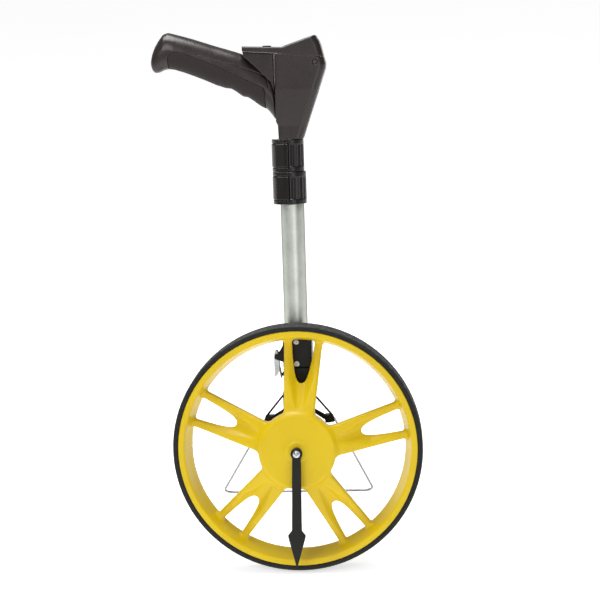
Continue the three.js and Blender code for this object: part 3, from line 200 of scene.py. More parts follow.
def line_distance(px, py, points):
    """Distance from points to an open line."""
    nearest = np.full(np.broadcast(px, py).shape, 1e9, np.float32)
    for (ax, ay), (bx, by) in zip(points, points[1:]):
        ex, ey = bx - ax, by - ay
        wx, wy = px - ax, py - ay
        share = np.clip((wx * ex + wy * ey) / (ex * ex + ey * ey), 0, 1)
        nearest = np.minimum(nearest, (wx - ex * share) ** 2 + (wy - ey * share) ** 2)
    return np.sqrt(nearest)


def plate_xz(grid, outline):
    return polygon_distance(grid.lines[0][:, None], grid.lines[2][None, :], outline)[:, None, :]


def plate_yz(grid, outline):
    return polygon_distance(grid.lines[1][:, None], grid.lines[2][None, :], outline)[None, :, :]


def plate_xy(grid, outline):
    return polygon_distance(grid.lines[0][:, None], grid.lines[1][None, :], outline)[:, :, None]


def between(values, low, high):
    return np.maximum(low - values, values - high)


def block(grid, x0, x1, y0, y1, z0, z1, edge=0.0):
    flat = both(between(grid.x, x0, x1), between(grid.z, z0, z1), edge)
    return both(flat, between(grid.y, y0, y1), edge)


def look_up(table, start, step, places):
    """Rows of a table at fractional places along its first axis."""
    index = np.clip((places - start) / step, 0, len(table) - 1.001)
    whole = index.astype(int)
    share = (index - whole).astype(np.float32)[..., None]
    return table[whole] * (1 - share) + table[whole + 1] * share


def turned(grid, profile, x=0.0, z=0.0):
    """A shape turned about a line along Y, from its (radius, y) profile."""
    radius = np.hypot(grid.lines[0][:, None] - x, grid.lines[2][None, :] - z)
    step = 0.4
    rows = np.arange(0, radius.max() + 2 * step, step, dtype=np.float32)
    table = polygon_distance(rows[:, None], grid.lines[1][None, :], profile)
    return look_up(table, 0, step, radius).transpose(0, 2, 1)


def rod(grid, radius, y0, y1, x=0.0, z=0.0, edge=0.0):
    return both(np.hypot(grid.x - x, grid.z - z) - radius, between(grid.y, y0, y1), edge)


def rod_z(grid, radius, z0, z1, x=0.0, y=0.0, edge=0.0):
    return both(np.hypot(grid.x - x, grid.y - y) - radius, between(grid.z, z0, z1), edge)


def both(a, b, edge=0.0):
    """Where two shapes overlap, with the edge between them rounded."""
    if edge <= 0:
        return np.maximum(a, b)
    corner = np.hypot(np.maximum(a + edge, 0), np.maximum(b + edge, 0))
    return np.minimum(np.maximum(a, b), -edge) + corner


def either(a, b, fillet=0.0):
    """Two shapes joined, with a fillet along the join."""
    if fillet <= 0:
        return np.minimum(a, b)
    corner = np.hypot(np.maximum(fillet - a, 0), np.maximum(fillet - b, 0))
    return np.maximum(np.minimum(a, b), fillet) - corner


def less(a, b, edge=0.0):
    return both(a, -b, edge)


def soften(points, radius, steps=4):
    """The outline with its corners rounded."""
    result = []
    count = len(points)
    for i, here in enumerate(points):
        here = np.array(here, float)
        before = np.array(points[i - 1], float) - here
        after = np.array(points[(i + 1) % count], float) - here
        reach = min(radius, 0.45 * np.linalg.norm(before), 0.45 * np.linalg.norm(after))
        start = here + before / np.linalg.norm(before) * reach
        end = here + after / np.linalg.norm(after) * reach
        for k in range(steps + 1):
            t = k / steps
            result.append(tuple((1 - t) ** 2 * start + 2 * t * (1 - t) * here + t ** 2 * end))
    return result


def arc(cx, cy, radius, start, end, steps):
    angles = np.radians(np.linspace(start, end, steps + 1))
    return [(cx + radius * math.cos(a), cy + radius * math.sin(a)) for a in angles]


def surface_net(field, grid):
    """Vertices and quads of a field's zero surface."""
    inside = field < 0
    shape = tuple(n - 1 for n in field.shape)
    corners = [(i, j, k) for i in (0, 1) for j in (0, 1) for k in (0, 1)]

    def at(values, c):
        return values[c[0]:c[0] + shape[0], c[1]:c[1] + shape[1], c[2]:c[2] + shape[2]]

    count = sum(at(inside, c).astype(np.int8) for c in corners)
    mixed = (count > 0) & (count < 8)
    cells = np.argwhere(mixed)
    index = np.full(shape, -1, np.int64)
    index[mixed] = np.arange(len(cells))
    values = [at(field, c)[mixed] for c in corners]
    total = np.zeros((len(cells), 3))
    hits = np.zeros(len(cells))
    for a, first in enumerate(corners):
        for b, second in enumerate(corners):
            if b <= a or sum(abs(p - q) for p, q in zip(first, second)) != 1:
                continue
            crossed = (values[a] < 0) != (values[b] < 0)
            share = np.where(crossed, values[a] / np.where(crossed, values[a] - values[b], 1), 0)
            way = np.array(second) - np.array(first)
            total += crossed[:, None] * (np.array(first) + share[:, None] * way)
            hits += crossed
    points = grid.low + grid.cell * (cells + total / hits[:, None])
    quads = []
    for axis in range(3):
        u, v = (axis + 1) % 3, (axis + 2) % 3
        low = [slice(1, -1)] * 3
        high = [slice(1, -1)] * 3
        low[axis] = slice(0, -1)
        high[axis] = slice(1, None)
        here, there = inside[tuple(low)], inside[tuple(high)]
        start = np.ones(3, int)
        start[axis] = 0
        step_u, step_v = np.eye(3, dtype=int)[u], np.eye(3, dtype=int)[v]
        for rising in (True, False):
            edges = np.argwhere(here & ~there if rising else ~here & there) + start
            around = [edges - step_u - step_v, edges - step_v, edges, edges - step_u]
            quad = np.stack([index[tuple(c.T)] for c in around], 1)
            quads.append(quad if rising else quad[:, ::-1])
    return points, np.concatenate(quads)


# ---- Mesh helpers ---------------------------------------------------------

def add_mesh(name, points, faces, smooth=True):
    """A mesh object from points in millimetres in the wheel's frame."""
    turn = np.array(WHEEL_FRAME)
    placed = np.asarray(points) * MM @ turn[:3, :3].T + turn[:3, 3]
    mesh = bpy.data.meshes.new(name)
    mesh.from_pydata(placed.tolist(), [], faces.tolist() if isinstance(faces, np.ndarray) else faces)
    mesh.polygons.foreach_set("use_smooth", [smooth] * len(mesh.polygons))
    mesh.update()
    obj = bpy.data.objects.new(name, mesh)
    bpy.context.scene.collection.objects.link(obj)
    return obj


def apply_modifiers(obj):
    bpy.context.view_layer.update()
    result = bpy.data.meshes.new_from_object(obj.evaluated_get(bpy.context.evaluated_depsgraph_get()))
    obj.modifiers.clear()
    obj.data = result


def moulded(name, grid, field, offset=(0, 0, 0), keep=0.5):
    """A piece from its distance field, thinned to a share of its faces."""
    shape = tuple(len(line) for line in grid.lines)
    full = np.ascontiguousarray(np.broadcast_to(field, shape).astype(np.float32))
    points, quads = surface_net(full, grid)
    obj = add_mesh(name, points + np.array(offset), quads)
    if keep < 1:
        thin = obj.modifiers.new("thin", "DECIMATE")
        thin.ratio = keep
        apply_modifiers(obj)
        obj.data.polygons.foreach_set("use_smooth", [True] * len(obj.data.polygons))
    return obj


def lathe(name, profile, steps=128, axis="Y", centre=(0, 0, 0)):
    """A closed profile of (radius, along) points turned about an axis."""
    angles = np.linspace(0, 2 * math.pi, steps, endpoint=False)
    points = []
    for a in angles:
        for radius, along in profile:
            u, v = radius * math.sin(a), radius * math.cos(a)
            points.append((u, along, v) if axis == "Y" else (v, u, along))
    count = len(profile)
    faces = []
    for i in range(steps):
        j = (i + 1) % steps
        for k in range(count):
            m = (k + 1) % count
            faces.append((i * count + k, i * count + m, j * count + m, j * count + k))
    area = sum(p[0] * q[1] - q[0] * p[1] for p, q in zip(profile, profile[1:] + profile[:1]))
    if area > 0:
        faces = [face[::-1] for face in faces]
    return add_mesh(name, np.array(points) + np.array(centre), faces)


def sweep(name, path, radius, around=16, corner=6.0, steps=8):
    """A round wire along a path with rounded corners and flat capped ends."""
    path = [Vector(p) for p in path]
    line = [path[0]]
    for before, here, after in zip(path, path[1:], path[2:]):
        back, on = before - here, after - here
        reach = min(corner, 0.45 * back.length, 0.45 * on.length)
        start, end = here + back.normalized() * reach, here + on.normalized() * reach
        for k in range(steps + 1):
            t = k / steps
            line.append(start.lerp(here, t).lerp(here.lerp(end, t), t))
    line.append(path[-1])
    ways = [(b - a).normalized() for a, b in zip(line, line[1:])]
    tangents = [ways[0]] + [(a + b).normalized() for a, b in zip(ways, ways[1:])] + [ways[-1]]
    side = tangents[0].orthogonal().normalized()
    points = []
    for place, way in zip(line, tangents):
        side = (side - way * side.dot(way)).normalized()
        other = way.cross(side)
        for k in range(around):
            a = 2 * math.pi * k / around
            points.append(place + (side * math.cos(a) + other * math.sin(a)) * radius)
    faces = []
    for i in range(len(line) - 1):
        for k in range(around):
            m = (k + 1) % around
            faces.append((i * around + k, i * around + m, (i + 1) * around + m, (i + 1) * around + k))
    faces.append(tuple(reversed(range(around))))
    faces.append(tuple(range((len(line) - 1) * around, len(line) * around)))
    return add_mesh(name, np.array([tuple(p) for p in points]), faces)


def prism(name, outline, low, high, axis="Y", edge=0.6, centre=(0, 0, 0)):
    """An outline extruded along an axis, with its edges bevelled."""
    def at(a, b, c):
        return {"Y": (a, c, b), "Z": (a, b, c), "X": (c, a, b)}[axis]

    count = len(outline)
    points = [at(a, b, low) for a, b in outline] + [at(a, b, high) for a, b in outline]
    faces = [tuple(range(count)), tuple(reversed(range(count, 2 * count)))]
    faces += [(i, i + count, (i + 1) % count + count, (i + 1) % count) for i in range(count)]
    area = sum(p[0] * q[1] - q[0] * p[1] for p, q in zip(outline, list(outline[1:]) + [outline[0]]))
    if (area > 0) != (axis == "Y"):
        faces = [face[::-1] for face in faces]
    obj = add_mesh(name, np.array(points) + np.array(centre), faces, smooth=True)
    bevel = obj.modifiers.new("bevel", "BEVEL")
    bevel.width = edge * MM
    bevel.segments = 3
    bevel.limit_method = "ANGLE"
    bevel.angle_limit = math.radians(30)
    bevel.harden_normals = True
    apply_modifiers(obj)
    return obj


def finish_piece(obj, body, material, nodes):
    """Gives a piece its material and its body, and hides the CAD nodes it stands for."""
    obj.data.materials.clear()
    obj.data.materials.append(material)
    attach(obj, body)
    if nodes:
        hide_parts(*nodes)
    return obj


# ---- Materials ------------------------------------------------------------

def linear(colour):
    """Linear values of an sRGB colour from 0 to 255."""
    shares = [c / 255 for c in colour]
    return tuple(c / 12.92 if c <= 10 / 255 else ((c + 0.055) / 1.055) ** 2.4 for c in shares) + (1.0,)


class Finish:
    """A procedural material, built up from layers of noise."""

    def __init__(self, name, **sockets):
        self.material = bpy.data.materials.new(name)
        self.material.use_nodes = True
        self.tree = self.material.node_tree
        self.shader = self.tree.nodes["Principled BSDF"]
        coordinates = self.add("TexCoord").outputs["Object"]
        upright = self.add("Mapping", Vector=coordinates, Location=TO_WHEEL.translation,
                           Rotation=TO_WHEEL.to_euler())
        self.place = upright.outputs["Vector"]
        self.normal = None
        for socket, value in sockets.items():
            self.shader.inputs[socket.replace("_", " ")].default_value = value

    def add(self, kind, **inputs):
        """A node whose inputs are linked to sockets or set to values."""
        node = self.tree.nodes.new("ShaderNode" + kind)
        for name, value in inputs.items():
            self.give(node.inputs[name.replace("_", " ")], value)
        return node

    def give(self, socket, value):
        if isinstance(value, bpy.types.NodeSocket):
            self.tree.links.new(value, socket)
        else:
            socket.default_value = value

    def stretched(self, stretch):
        return self.add("Mapping", Vector=self.place, Scale=stretch).outputs["Vector"]

    def noise(self, scale, detail=3.0, stretch=(1, 1, 1), roughness=0.55):
        return self.add("TexNoise", Vector=self.stretched(stretch), Scale=scale, Detail=detail,
                        Roughness=roughness).outputs["Fac"]

    def voronoi(self, scale, stretch=(1, 1, 1)):
        return self.add("TexVoronoi", Vector=self.stretched(stretch), Scale=scale).outputs["Distance"]

    def spread(self, source, low, high, to_low, to_high):
        """Maps low..high of a value to to_low..to_high."""
        return self.add("MapRange", Value=source, From_Min=low, From_Max=high, To_Min=to_low,
                        To_Max=to_high).outputs["Result"]

    def times(self, first, second):
        node = self.add("Math")
        node.operation = "MULTIPLY"
        self.give(node.inputs[0], first)
        self.give(node.inputs[1], second)
        return node.outputs[0]

    def mix(self, factor, first, second):
        """Mixes two colours, each a colour or a socket."""
        node = self.tree.nodes.new("ShaderNodeMix")
        node.data_type = "RGBA"
        self.tree.links.new(factor, node.inputs["Factor"])
        self.give(node.inputs[6], first)
        self.give(node.inputs[7], second)
        return node.outputs[2]

    def edges(self, low=0.52, high=0.6):
        """High where the surface is a ridge."""
        return self.spread(self.add("NewGeometry").outputs["Pointiness"], low, high, 0.0, 1.0)

    def colour(self, socket):
        self.tree.links.new(socket, self.shader.inputs["Base Color"])
        return self

    def rough(self, socket):
        self.tree.links.new(socket, self.shader.inputs["Roughness"])
        return self

    def bump(self, height, depth, strength=1.0):
        """Adds a bump whose full height is depth millimetres."""
        node = self.add("Bump", Strength=strength, Distance=depth * MM, Height=height)
        if self.normal is not None:
            self.tree.links.new(self.normal, node.inputs["Normal"])
        self.normal = node.outputs["Normal"]
        self.tree.links.new(self.normal, self.shader.inputs["Normal"])
        return self


def moulded_plastic(name, colour, darker, worn, roughness, grain, grain_depth, **sockets):
    """Moulded plastic with faint flow marks, a fine texture and paler rubbed edges."""
    finish = Finish(name, **sockets)
    flow = finish.noise(14, 4)
    fine = finish.noise(grain, 2)
    smudge = finish.noise(55, 5, roughness=0.65)
    base = finish.mix(finish.spread(flow, 0.3, 0.7, 0, 1), darker, colour)
    rubbed = finish.times(finish.edges(), finish.spread(smudge, 0.35, 0.65, 0.1, 0.8))
    finish.colour(finish.mix(rubbed, base, worn))
    finish.rough(finish.spread(smudge, 0.25, 0.75, roughness - 0.06, roughness + 0.09))
    finish.bump(fine, grain_depth)
    finish.bump(flow, 0.12)
    return finish.material


def metal(name, colour, darker, roughness, scale, stretch, depth, **sockets):
    """Bare metal with fine lines along one direction."""
    finish = Finish(name, Metallic=1.0, **sockets)
    lines = finish.noise(scale, 3, stretch)
    stains = finish.noise(45, 5, roughness=0.7)
    finish.colour(finish.mix(finish.spread(stains, 0.35, 0.75, 0, 1), linear(colour), linear(darker)))
    finish.rough(finish.spread(lines, 0.25, 0.75, roughness - 0.07, roughness + 0.1))
    finish.bump(lines, depth)
    return finish.material


def plastic(name, colour, darker, worn, roughness, grain, grain_depth, specular):
    return moulded_plastic(name, linear(colour), linear(darker), linear(worn), roughness, grain, grain_depth,
                           Specular_IOR_Level=specular)


YELLOW = plastic("yellow plastic", (214, 184, 8), (205, 174, 6), (230, 204, 50), 0.36, 900, 0.012, 0.32)
BLACK = plastic("black plastic", (18, 18, 17), (12, 12, 11), (42, 41, 39), 0.44, 1400, 0.03, 0.24)
COLLAR = plastic("collar plastic", (24, 20, 19), (17, 14, 13), (56, 50, 46), 0.2, 1100, 0.012, 0.4)
HEAD = plastic("head plastic", (42, 34, 32), (35, 28, 26), (72, 62, 57), 0.26, 1300, 0.02, 0.45)

STEEL = metal("plated steel", (205, 206, 208), (168, 168, 170), 0.28, 300, (1, 1, 1), 0.01)
WIRE = metal("zinc wire", (150, 150, 150), (112, 112, 112), 0.32, 500, (1, 1, 0.3), 0.01)
BLACKENED = metal("blackened steel", (92, 90, 88), (60, 58, 56), 0.3, 300, (1, 1, 1), 0.01)
ALUMINIUM = metal("satin aluminium", (203, 207, 199), (184, 188, 179), 0.36, 1.0, (1400, 1400, 14), 0.012,
                  Specular_Tint=(0.16, 0.17, 0.16, 1))


def rubber_material(name, colour, worn, grain, depth):
    finish = Finish(name, Specular_IOR_Level=0.3)
    patches = finish.noise(90, 6, roughness=0.7)
    fine = finish.noise(grain, 3)
    finish.colour(finish.mix(finish.spread(patches, 0.42, 0.72, 0, 1), colour, worn))
    finish.rough(finish.spread(patches, 0.3, 0.7, 0.55, 0.78))
    finish.bump(fine, depth)
    return finish.material


def tyre_material():
    """Black rubber, grey and dusty across the tread where it rolls."""
    finish = Finish("tyre rubber", Specular_IOR_Level=0.3)
    split = finish.add("SeparateXYZ", Vector=finish.place).outputs
    reach = finish.add("VectorMath")
    reach.operation = "LENGTH"
    finish.give(reach.inputs[0], finish.add("CombineXYZ", X=split["X"], Z=split["Z"]).outputs[0])
    tread = finish.spread(reach.outputs["Value"], (TYRE_R - 2.0) * MM, (TYRE_R - 0.4) * MM, 0, 1)
    patches = finish.noise(160, 6, (1, 0.35, 1), 0.75)
    dust = finish.times(tread, finish.spread(patches, 0.4, 0.66, 0.1, 0.95))
    finish.colour(finish.mix(dust, linear((20, 20, 19)), linear((84, 86, 83))))
    finish.rough(finish.spread(patches, 0.3, 0.7, 0.5, 0.85))
    finish.bump(finish.noise(1500, 3), 0.05)
    return finish.material


GRIP = rubber_material("grip rubber", linear((36, 29, 28)), linear((43, 36, 34)), 1600, 0.06)
TYRE = tyre_material()


def board_material():
    finish = Finish("circuit board", Roughness=0.4)
    tracks = finish.voronoi(420)
    copper = finish.spread(tracks, 0.3, 0.42, 0, 1)
    finish.colour(finish.mix(copper, linear((22, 84, 46)), linear((58, 132, 78))))
    finish.bump(tracks, 0.05)
    return finish.material


def screen_material():
    finish = Finish("display", Roughness=0.3)
    weave = finish.noise(2400, 1)
    finish.colour(finish.mix(weave, linear((142, 154, 128)), linear((158, 169, 142))))
    finish.bump(weave, 0.005)
    return finish.material


def window_material():
    finish = Finish("clear window", Transmission_Weight=1.0, IOR=1.49)
    finish.colour(finish.mix(finish.noise(40), linear((244, 248, 246)), linear((232, 240, 236))))
    finish.rough(finish.spread(finish.noise(500, 4), 0.4, 0.8, 0.03, 0.12))
    return finish.material


def key_material():
    finish = Finish("key rubber", Specular_IOR_Level=0.35)
    finish.colour(finish.mix(finish.noise(250, 4), linear((40, 37, 35)), linear((31, 28, 27))))
    finish.rough(finish.spread(finish.noise(700, 3), 0.3, 0.7, 0.5, 0.7))
    finish.bump(finish.noise(2000, 2), 0.02)
    return finish.material


def cell_material():
    finish = Finish("cell wrap", Metallic=0.6)
    scuff = finish.noise(320, 5, (1, 1, 0.2))
    finish.colour(finish.mix(scuff, linear((96, 98, 104)), linear((70, 72, 80))))
    finish.rough(finish.spread(scuff, 0.3, 0.7, 0.25, 0.45))
    return finish.material


BOARD = board_material()
SCREEN = screen_material()
WINDOW = window_material()
KEY = key_material()
CELL = cell_material()

# Every CAD node but the head screw starts with the finish of its slot; the pieces below replace
# what shows most.
FINISHES = {
    "wheel_yellow": YELLOW, "tyre_rubber": TYRE, "black_plastic": BLACK, "collar_plastic": COLLAR,
    "head_plastic": HEAD, "grip_rubber": GRIP, "tube_aluminium": ALUMINIUM, "steel": STEEL,
    "board": BOARD, "window": WINDOW, "screen": SCREEN, "key": KEY, "cell": CELL,
}
for part in frame["record"]["subparts"]:
    node = frame["nodes"][part["node"]]
    blackened = part["node"] == "head_screw"
    node.data.materials.clear()
    node.data.materials.append(BLACKENED if blackened else FINISHES[part["material_slot"]])


# ---- Wheel ----------------------------------------------------------------

def rim_inside(y):
    return RIM_LIP_R + RIM_SLOPE * (y - RIM_MOUTH)


def rim_profile():
    front, back, bed = -TYRE_HALF, TYRE_HALF, BED_HALF
    return [
        (RIM_LIP_R + 1.4, front + 0.1), (RIM_R - 0.4, front + 0.1), (RIM_R, front + 0.6), (RIM_R, -bed),
        (RIM_BED_R, -bed + 2), (RIM_BED_R, bed - 2), (RIM_R, bed), (RIM_R, back),
        (RIM_BED_R - RIM_WALL, back), (RIM_BED_R - RIM_WALL, -bed + 3),
        (rim_inside(-bed + 3) + RIM_WALL, -bed + 3), (RIM_BACK_R + RIM_WALL, back),
        (RIM_BACK_R, back), (RIM_LIP_R, front + 1.7),
    ]


def hub_profile():
    edge = arc(HUB_R - 5, HUB_FRONT + 5, 5, -90, 0, 8)
    inner = HUB_R - HUB_WALL
    return [
        (CAP_BORE, HUB_FRONT - 1.6), (BOSS_R - 3.4, HUB_FRONT - 1.6), (BOSS_R - 1.8, HUB_FRONT - 0.9),
        (BOSS_R, HUB_FRONT), *edge, (HUB_R, HUB_BACK), (inner, HUB_BACK), (inner, HUB_FRONT + 6),
        (inner - 2.5, HUB_FRONT + 3.6), (BOSS_R, HUB_FRONT + 3.6), (BOSS_R, BOSS_BACK), (SEAT_R, BOSS_BACK),
        (SEAT_R, BACK_SEAT), (SHOULDER_R, BACK_SEAT), (SHOULDER_R, FRONT_SEAT), (CAP_BORE, FRONT_SEAT),
    ]


SPOKE_REACH = RIM_LIP_R
SPOKE_FRONT = [
    (SPOKE_ROOT, HUB_FRONT + 4.2), (59.5, -19.4), (80, -13.2), (99.5, -7.2), (130, 1.6),
    (SPOKE_REACH + 4, 2.6),
]
SPOKE_BACK = [(SPOKE_REACH + 4, 13.8), (130, 12), (99.5, 4.5), (59.5, -6), (SPOKE_ROOT, -8)]


def spoke_half(z):
    share = (z - SPOKE_ROOT) / (SPOKE_REACH - SPOKE_ROOT)
    return SPOKE_ROOT_HALF + (SPOKE_RIM_HALF - SPOKE_ROOT_HALF) * share


def spoke_field(grid, turn):
    sine, cosine = math.sin(turn), math.cos(turn)
    across = grid.lines[0][:, None] * cosine - grid.lines[2][None, :] * sine
    along = grid.lines[0][:, None] * sine + grid.lines[2][None, :] * cosine
    waist = SPOKE_REACH - 12
    root, middle, end = spoke_half(SPOKE_ROOT), spoke_half(waist), spoke_half(SPOKE_REACH) + 3
    plan = [
        (-root, SPOKE_ROOT), (root, SPOKE_ROOT), (middle, waist), (end, SPOKE_REACH + 2),
        (-end, SPOKE_REACH + 2), (-middle, waist),
    ]
    slot_end = SPOKE_REACH + 3
    slot = []
    for i in range(-10, 11):
        share = i / 10
        slot.append((share * SLOT_HALF, slot_end - (1 - abs(share) ** 2.6) * (slot_end - SLOT_START)))
    outline = both(polygon_distance(across, along, plan), -polygon_distance(across, along, slot))
    step = 0.4
    rows = np.arange(SPOKE_ROOT - 8, SPOKE_REACH + 12, step, dtype=np.float32)
    table = polygon_distance(rows[:, None], grid.lines[1][None, :], SPOKE_FRONT + SPOKE_BACK)
    side = look_up(table, rows[0], step, along).transpose(0, 2, 1)
    spoke = both(outline[:, None, :], side, 3.6)
    floor = np.interp(along, [z for z, _ in SPOKE_FRONT], [y for _, y in SPOKE_FRONT])
    share = np.clip((along - SPOKE_ROOT - 8) / (SLOT_START - SPOKE_ROOT), 0, 1)
    width = 5 + 8 * share
    dip = 9 * share ** 0.6 * np.exp(-(across / width) ** 4)
    valley = (floor + dip)[:, None, :].astype(np.float32) - grid.y
    return both(spoke, valley * 0.75, 1.2)


def make_wheel():
    cell = 1.0
    grid = Grid((-RIM_R, HUB_FRONT - 2, -RIM_R), (RIM_R, TYRE_HALF, RIM_R), cell)
    rim = turned(grid, rim_profile())
    hub = turned(grid, hub_profile())
    radius = np.hypot(grid.x, grid.z)
    short = (radius - rim_inside(grid.y) - 1.3) / math.hypot(1, RIM_SLOPE)
    outside_hub = HUB_R - HUB_WALL + 0.4 - radius
    spokes = None
    for i in range(SPOKES):
        spoke = spoke_field(grid, SPOKE_TURN + i * 2 * math.pi / SPOKES)
        spokes = spoke if spokes is None else np.minimum(spokes, spoke)
    spokes = both(both(spokes, short), outside_hub)
    wheel = either(either(rim, spokes, 4.5), hub, 5.5)
    for i in range(SPOKES):
        turn = SPOKE_TURN + i * 2 * math.pi / SPOKES
        across = np.abs(grid.x * math.cos(turn) - grid.z * math.sin(turn)) - 1.5
        along = between(grid.x * math.sin(turn) + grid.z * math.cos(turn), BOSS_R - 1, HUB_R - 1)
        rib = both(both(across, along), between(grid.y, HUB_FRONT + 3, HUB_BACK - 4))
        wheel = either(wheel, rib, 0.8)
    bore = turned(grid, [
        (0, -60), (CAP_BORE, -60), (CAP_BORE, HUB_FRONT + 0.7), (SEAT_R, HUB_FRONT + 0.7),
        (SEAT_R, FRONT_SEAT),
        (SHOULDER_R, FRONT_SEAT), (SHOULDER_R, BACK_SEAT), (SEAT_R, BACK_SEAT), (SEAT_R, 60), (0, 60)])
    return moulded("wheel_moulding", grid, less(wheel, bore), keep=0.42)


finish_piece(make_wheel(), "wheel", YELLOW, ["wheel_rim", "wheel_spider", "hub_cap"])


def make_tyre():
    bed, inner = BED_HALF, RIM_R + GAP
    corners = [(inner, -TYRE_HALF), (TYRE_R, -TYRE_HALF), (TYRE_R, TYRE_HALF), (inner, TYRE_HALF)]
    outside = soften(corners, 2.6)
    outside = [(r, y) for r, y in outside if r > RIM_R + 1]
    tread = []
    for (r0, y0), (r1, y1) in zip(outside, outside[1:]):
        tread.append((r0, y0))
        if r0 > TYRE_R - 0.05 and r1 > TYRE_R - 0.05:
            for groove in (-7.2, -2.4, 2.4, 7.2):
                tread += [(TYRE_R, groove - 0.8), (TYRE_R - 0.7, groove - 0.35),
                          (TYRE_R - 0.7, groove + 0.35), (TYRE_R, groove + 0.8)]
    tread.append(outside[-1])
    inside = [
        (inner, TYRE_HALF), (inner, bed - GAP), (RIM_BED_R + GAP, bed - 2 - GAP),
        (RIM_BED_R + GAP, -bed + 2 + GAP), (inner, -bed + GAP), (inner, -TYRE_HALF),
    ]
    return lathe("tyre_tread", tread + inside, 200)


finish_piece(make_tyre(), "wheel", TYRE, ["tyre"])


def make_pointer():
    def width(z):
        return 5.5 - 0.9 * z / 100

    shoulder = -POINTER_LENGTH + 47
    outline = arc(0, 0, 7.6, -45, 225, 24) + [
        (-width(-12), -12), (-width(shoulder), shoulder), (-11.3, shoulder - 6), (-10.6, shoulder - 10),
        (-0.8, -POINTER_LENGTH), (0.8, -POINTER_LENGTH), (10.6, shoulder - 10), (11.3, shoulder - 6),
        (width(shoulder), shoulder), (width(-12), -12),
    ]
    sine, cosine = math.sin(POINTER_TURN), math.cos(POINTER_TURN)
    outline = [(x * cosine + z * sine, -x * sine + z * cosine) for x, z in outline]
    return prism("pointer_arm", outline, POINTER_Y, POINTER_Y + POINTER_THICK, "Y", 0.7)


finish_piece(make_pointer(), "chassis", BLACK, ["pointer"])


def make_pointer_screw():
    """A washer-head screw with a cross recess."""
    head = POINTER_Y - 3.4
    grid = Grid((-5, head, -5), (5, POINTER_Y + 11, 5), 0.16)
    profile = [
        (0, head), (1.8, head), (2.7, head + 0.5), (3, head + 1.9), (4.5, head + 2.2), (4.6, POINTER_Y - GAP),
        (1.4, POINTER_Y - GAP), (1.4, POINTER_Y + 11), (0, POINTER_Y + 11),
    ]
    screw = turned(grid, [(-1, head)] + profile + [(-1, POINTER_Y + 11)])
    u, v = np.abs(grid.x + grid.z) / math.sqrt(2), np.abs(grid.x - grid.z) / math.sqrt(2)
    arms = np.minimum(np.maximum(u - 1.9, v - 0.36), np.maximum(v - 1.9, u - 0.36))
    recess = both(arms, grid.y - (head + 1.5))
    return moulded("pointer_screw_head", grid, less(screw, recess, 0.15), keep=0.35)


finish_piece(make_pointer_screw(), "chassis", STEEL, ["pointer_screw"])


# ---- Arm, hinge block and latch -------------------------------------------

def knuckle_pair(grid, radius, spans):
    field = None
    for y0, y1 in spans:
        part = rod(grid, radius, y0, y1, HINGE_X, HINGE_Z, 0.3)
        field = part if field is None else np.minimum(field, part)
    return field


def make_arm():
    cell = 0.6
    grid = Grid((-21, ARM_FRONT - 2, -21), (25, BLOCK_BACK, HINGE_Z + 5), cell)
    boss_r = 21
    outline = [
        (BLOCK_LEFT + 1, HINGE_Z - 12), (BLOCK_LEFT + 1.6, 40), (-boss_r * 0.9, 12),
        *arc(0, 0, boss_r, 150, 390, 24),
        (boss_r * 0.9, 12), (BLOCK_RIGHT - 0.4, 40), (BLOCK_RIGHT - 0.4, HINGE_Z - 12),
    ]
    arm = both(plate_xz(grid, soften(outline, 3)), between(grid.y, ARM_FRONT, ARM_BACK), 1.6)
    pocket = plate_xz(grid, soften([
        (BLOCK_LEFT + ARM_WALL + 1, HINGE_Z - 32), (BLOCK_LEFT + ARM_WALL + 1.6, 24),
        (BLOCK_RIGHT - ARM_WALL - 0.6, 24), (BLOCK_RIGHT - ARM_WALL - 0.6, HINGE_Z - 32)], 3))
    arm = less(arm, both(pocket, ARM_FRONT + ARM_WALL - grid.y), 0.8)
    radius = np.hypot(grid.x, grid.z)
    ring = np.maximum(10 - radius, radius - (boss_r - ARM_WALL))
    arm = less(arm, both(ring, ARM_FRONT + ARM_WALL - grid.y), 0.8)
    rib = block(grid, -1.6, 1.6, ARM_FRONT + 1, ARM_BACK - 4, 8, HINGE_Z - 30, 0.5)
    arm = either(arm, rib, 1.0)
    arm = either(arm, rod(grid, 10, ARM_FRONT, ARM_BACK, edge=0.6), 0.8)
    top = both(plate_xz(grid, [(BLOCK_LEFT, HINGE_Z - 26), (BLOCK_RIGHT, HINGE_Z - 26),
                               (BLOCK_RIGHT, HINGE_Z - GAP / 2), (BLOCK_LEFT, HINGE_Z - GAP / 2)]),
               between(grid.y, BLOCK_FRONT, BLOCK_BACK), 1.0)
    arm = either(arm, top, 1.2)
    hump = plate_xz(grid, soften([
        (BLOCK_LEFT + 1, BAIL_BAR_Z + 1.8), (BLOCK_LEFT + 1, BAIL_BAR_Z + 7.5),
        (BLOCK_LEFT - 2.6, BAIL_BAR_Z + 5.6), (BLOCK_LEFT - 3, BAIL_BAR_Z + 1.8)], 0.7))
    hump = both(hump, between(grid.y, LATCH_Y - 2.2, LATCH_Y + 2.2), 0.4)
    arm = either(arm, hump, 0.4)
    for x, z in BRACKET_SCREWS:
        arm = either(arm, rod(grid, 4.2, ARM_FRONT + 1, ARM_BACK, x, z), 0.6)
        arm = less(arm, rod(grid, 2, ARM_BACK - 5, ARM_BACK + 1, x, z))
    a, b, c, d = KNUCKLES
    arm = less(arm, knuckle_pair(grid, KNUCKLE_R + GAP, [(a - 5, a), (b - GAP, c + GAP)]))
    arm = either(arm, knuckle_pair(grid, KNUCKLE_R, [(a, b), (c, d)]))
    arm = less(arm, rod(grid, HINGE_PIN_R + 0.15, BLOCK_FRONT - 5, BLOCK_BACK + 5, HINGE_X, HINGE_Z))
    arm = less(arm, rod(grid, AXLE_R + 0.15, ARM_FRONT - 5, ARM_BACK + 5))
    return moulded("arm_moulding", grid, arm, keep=0.45)


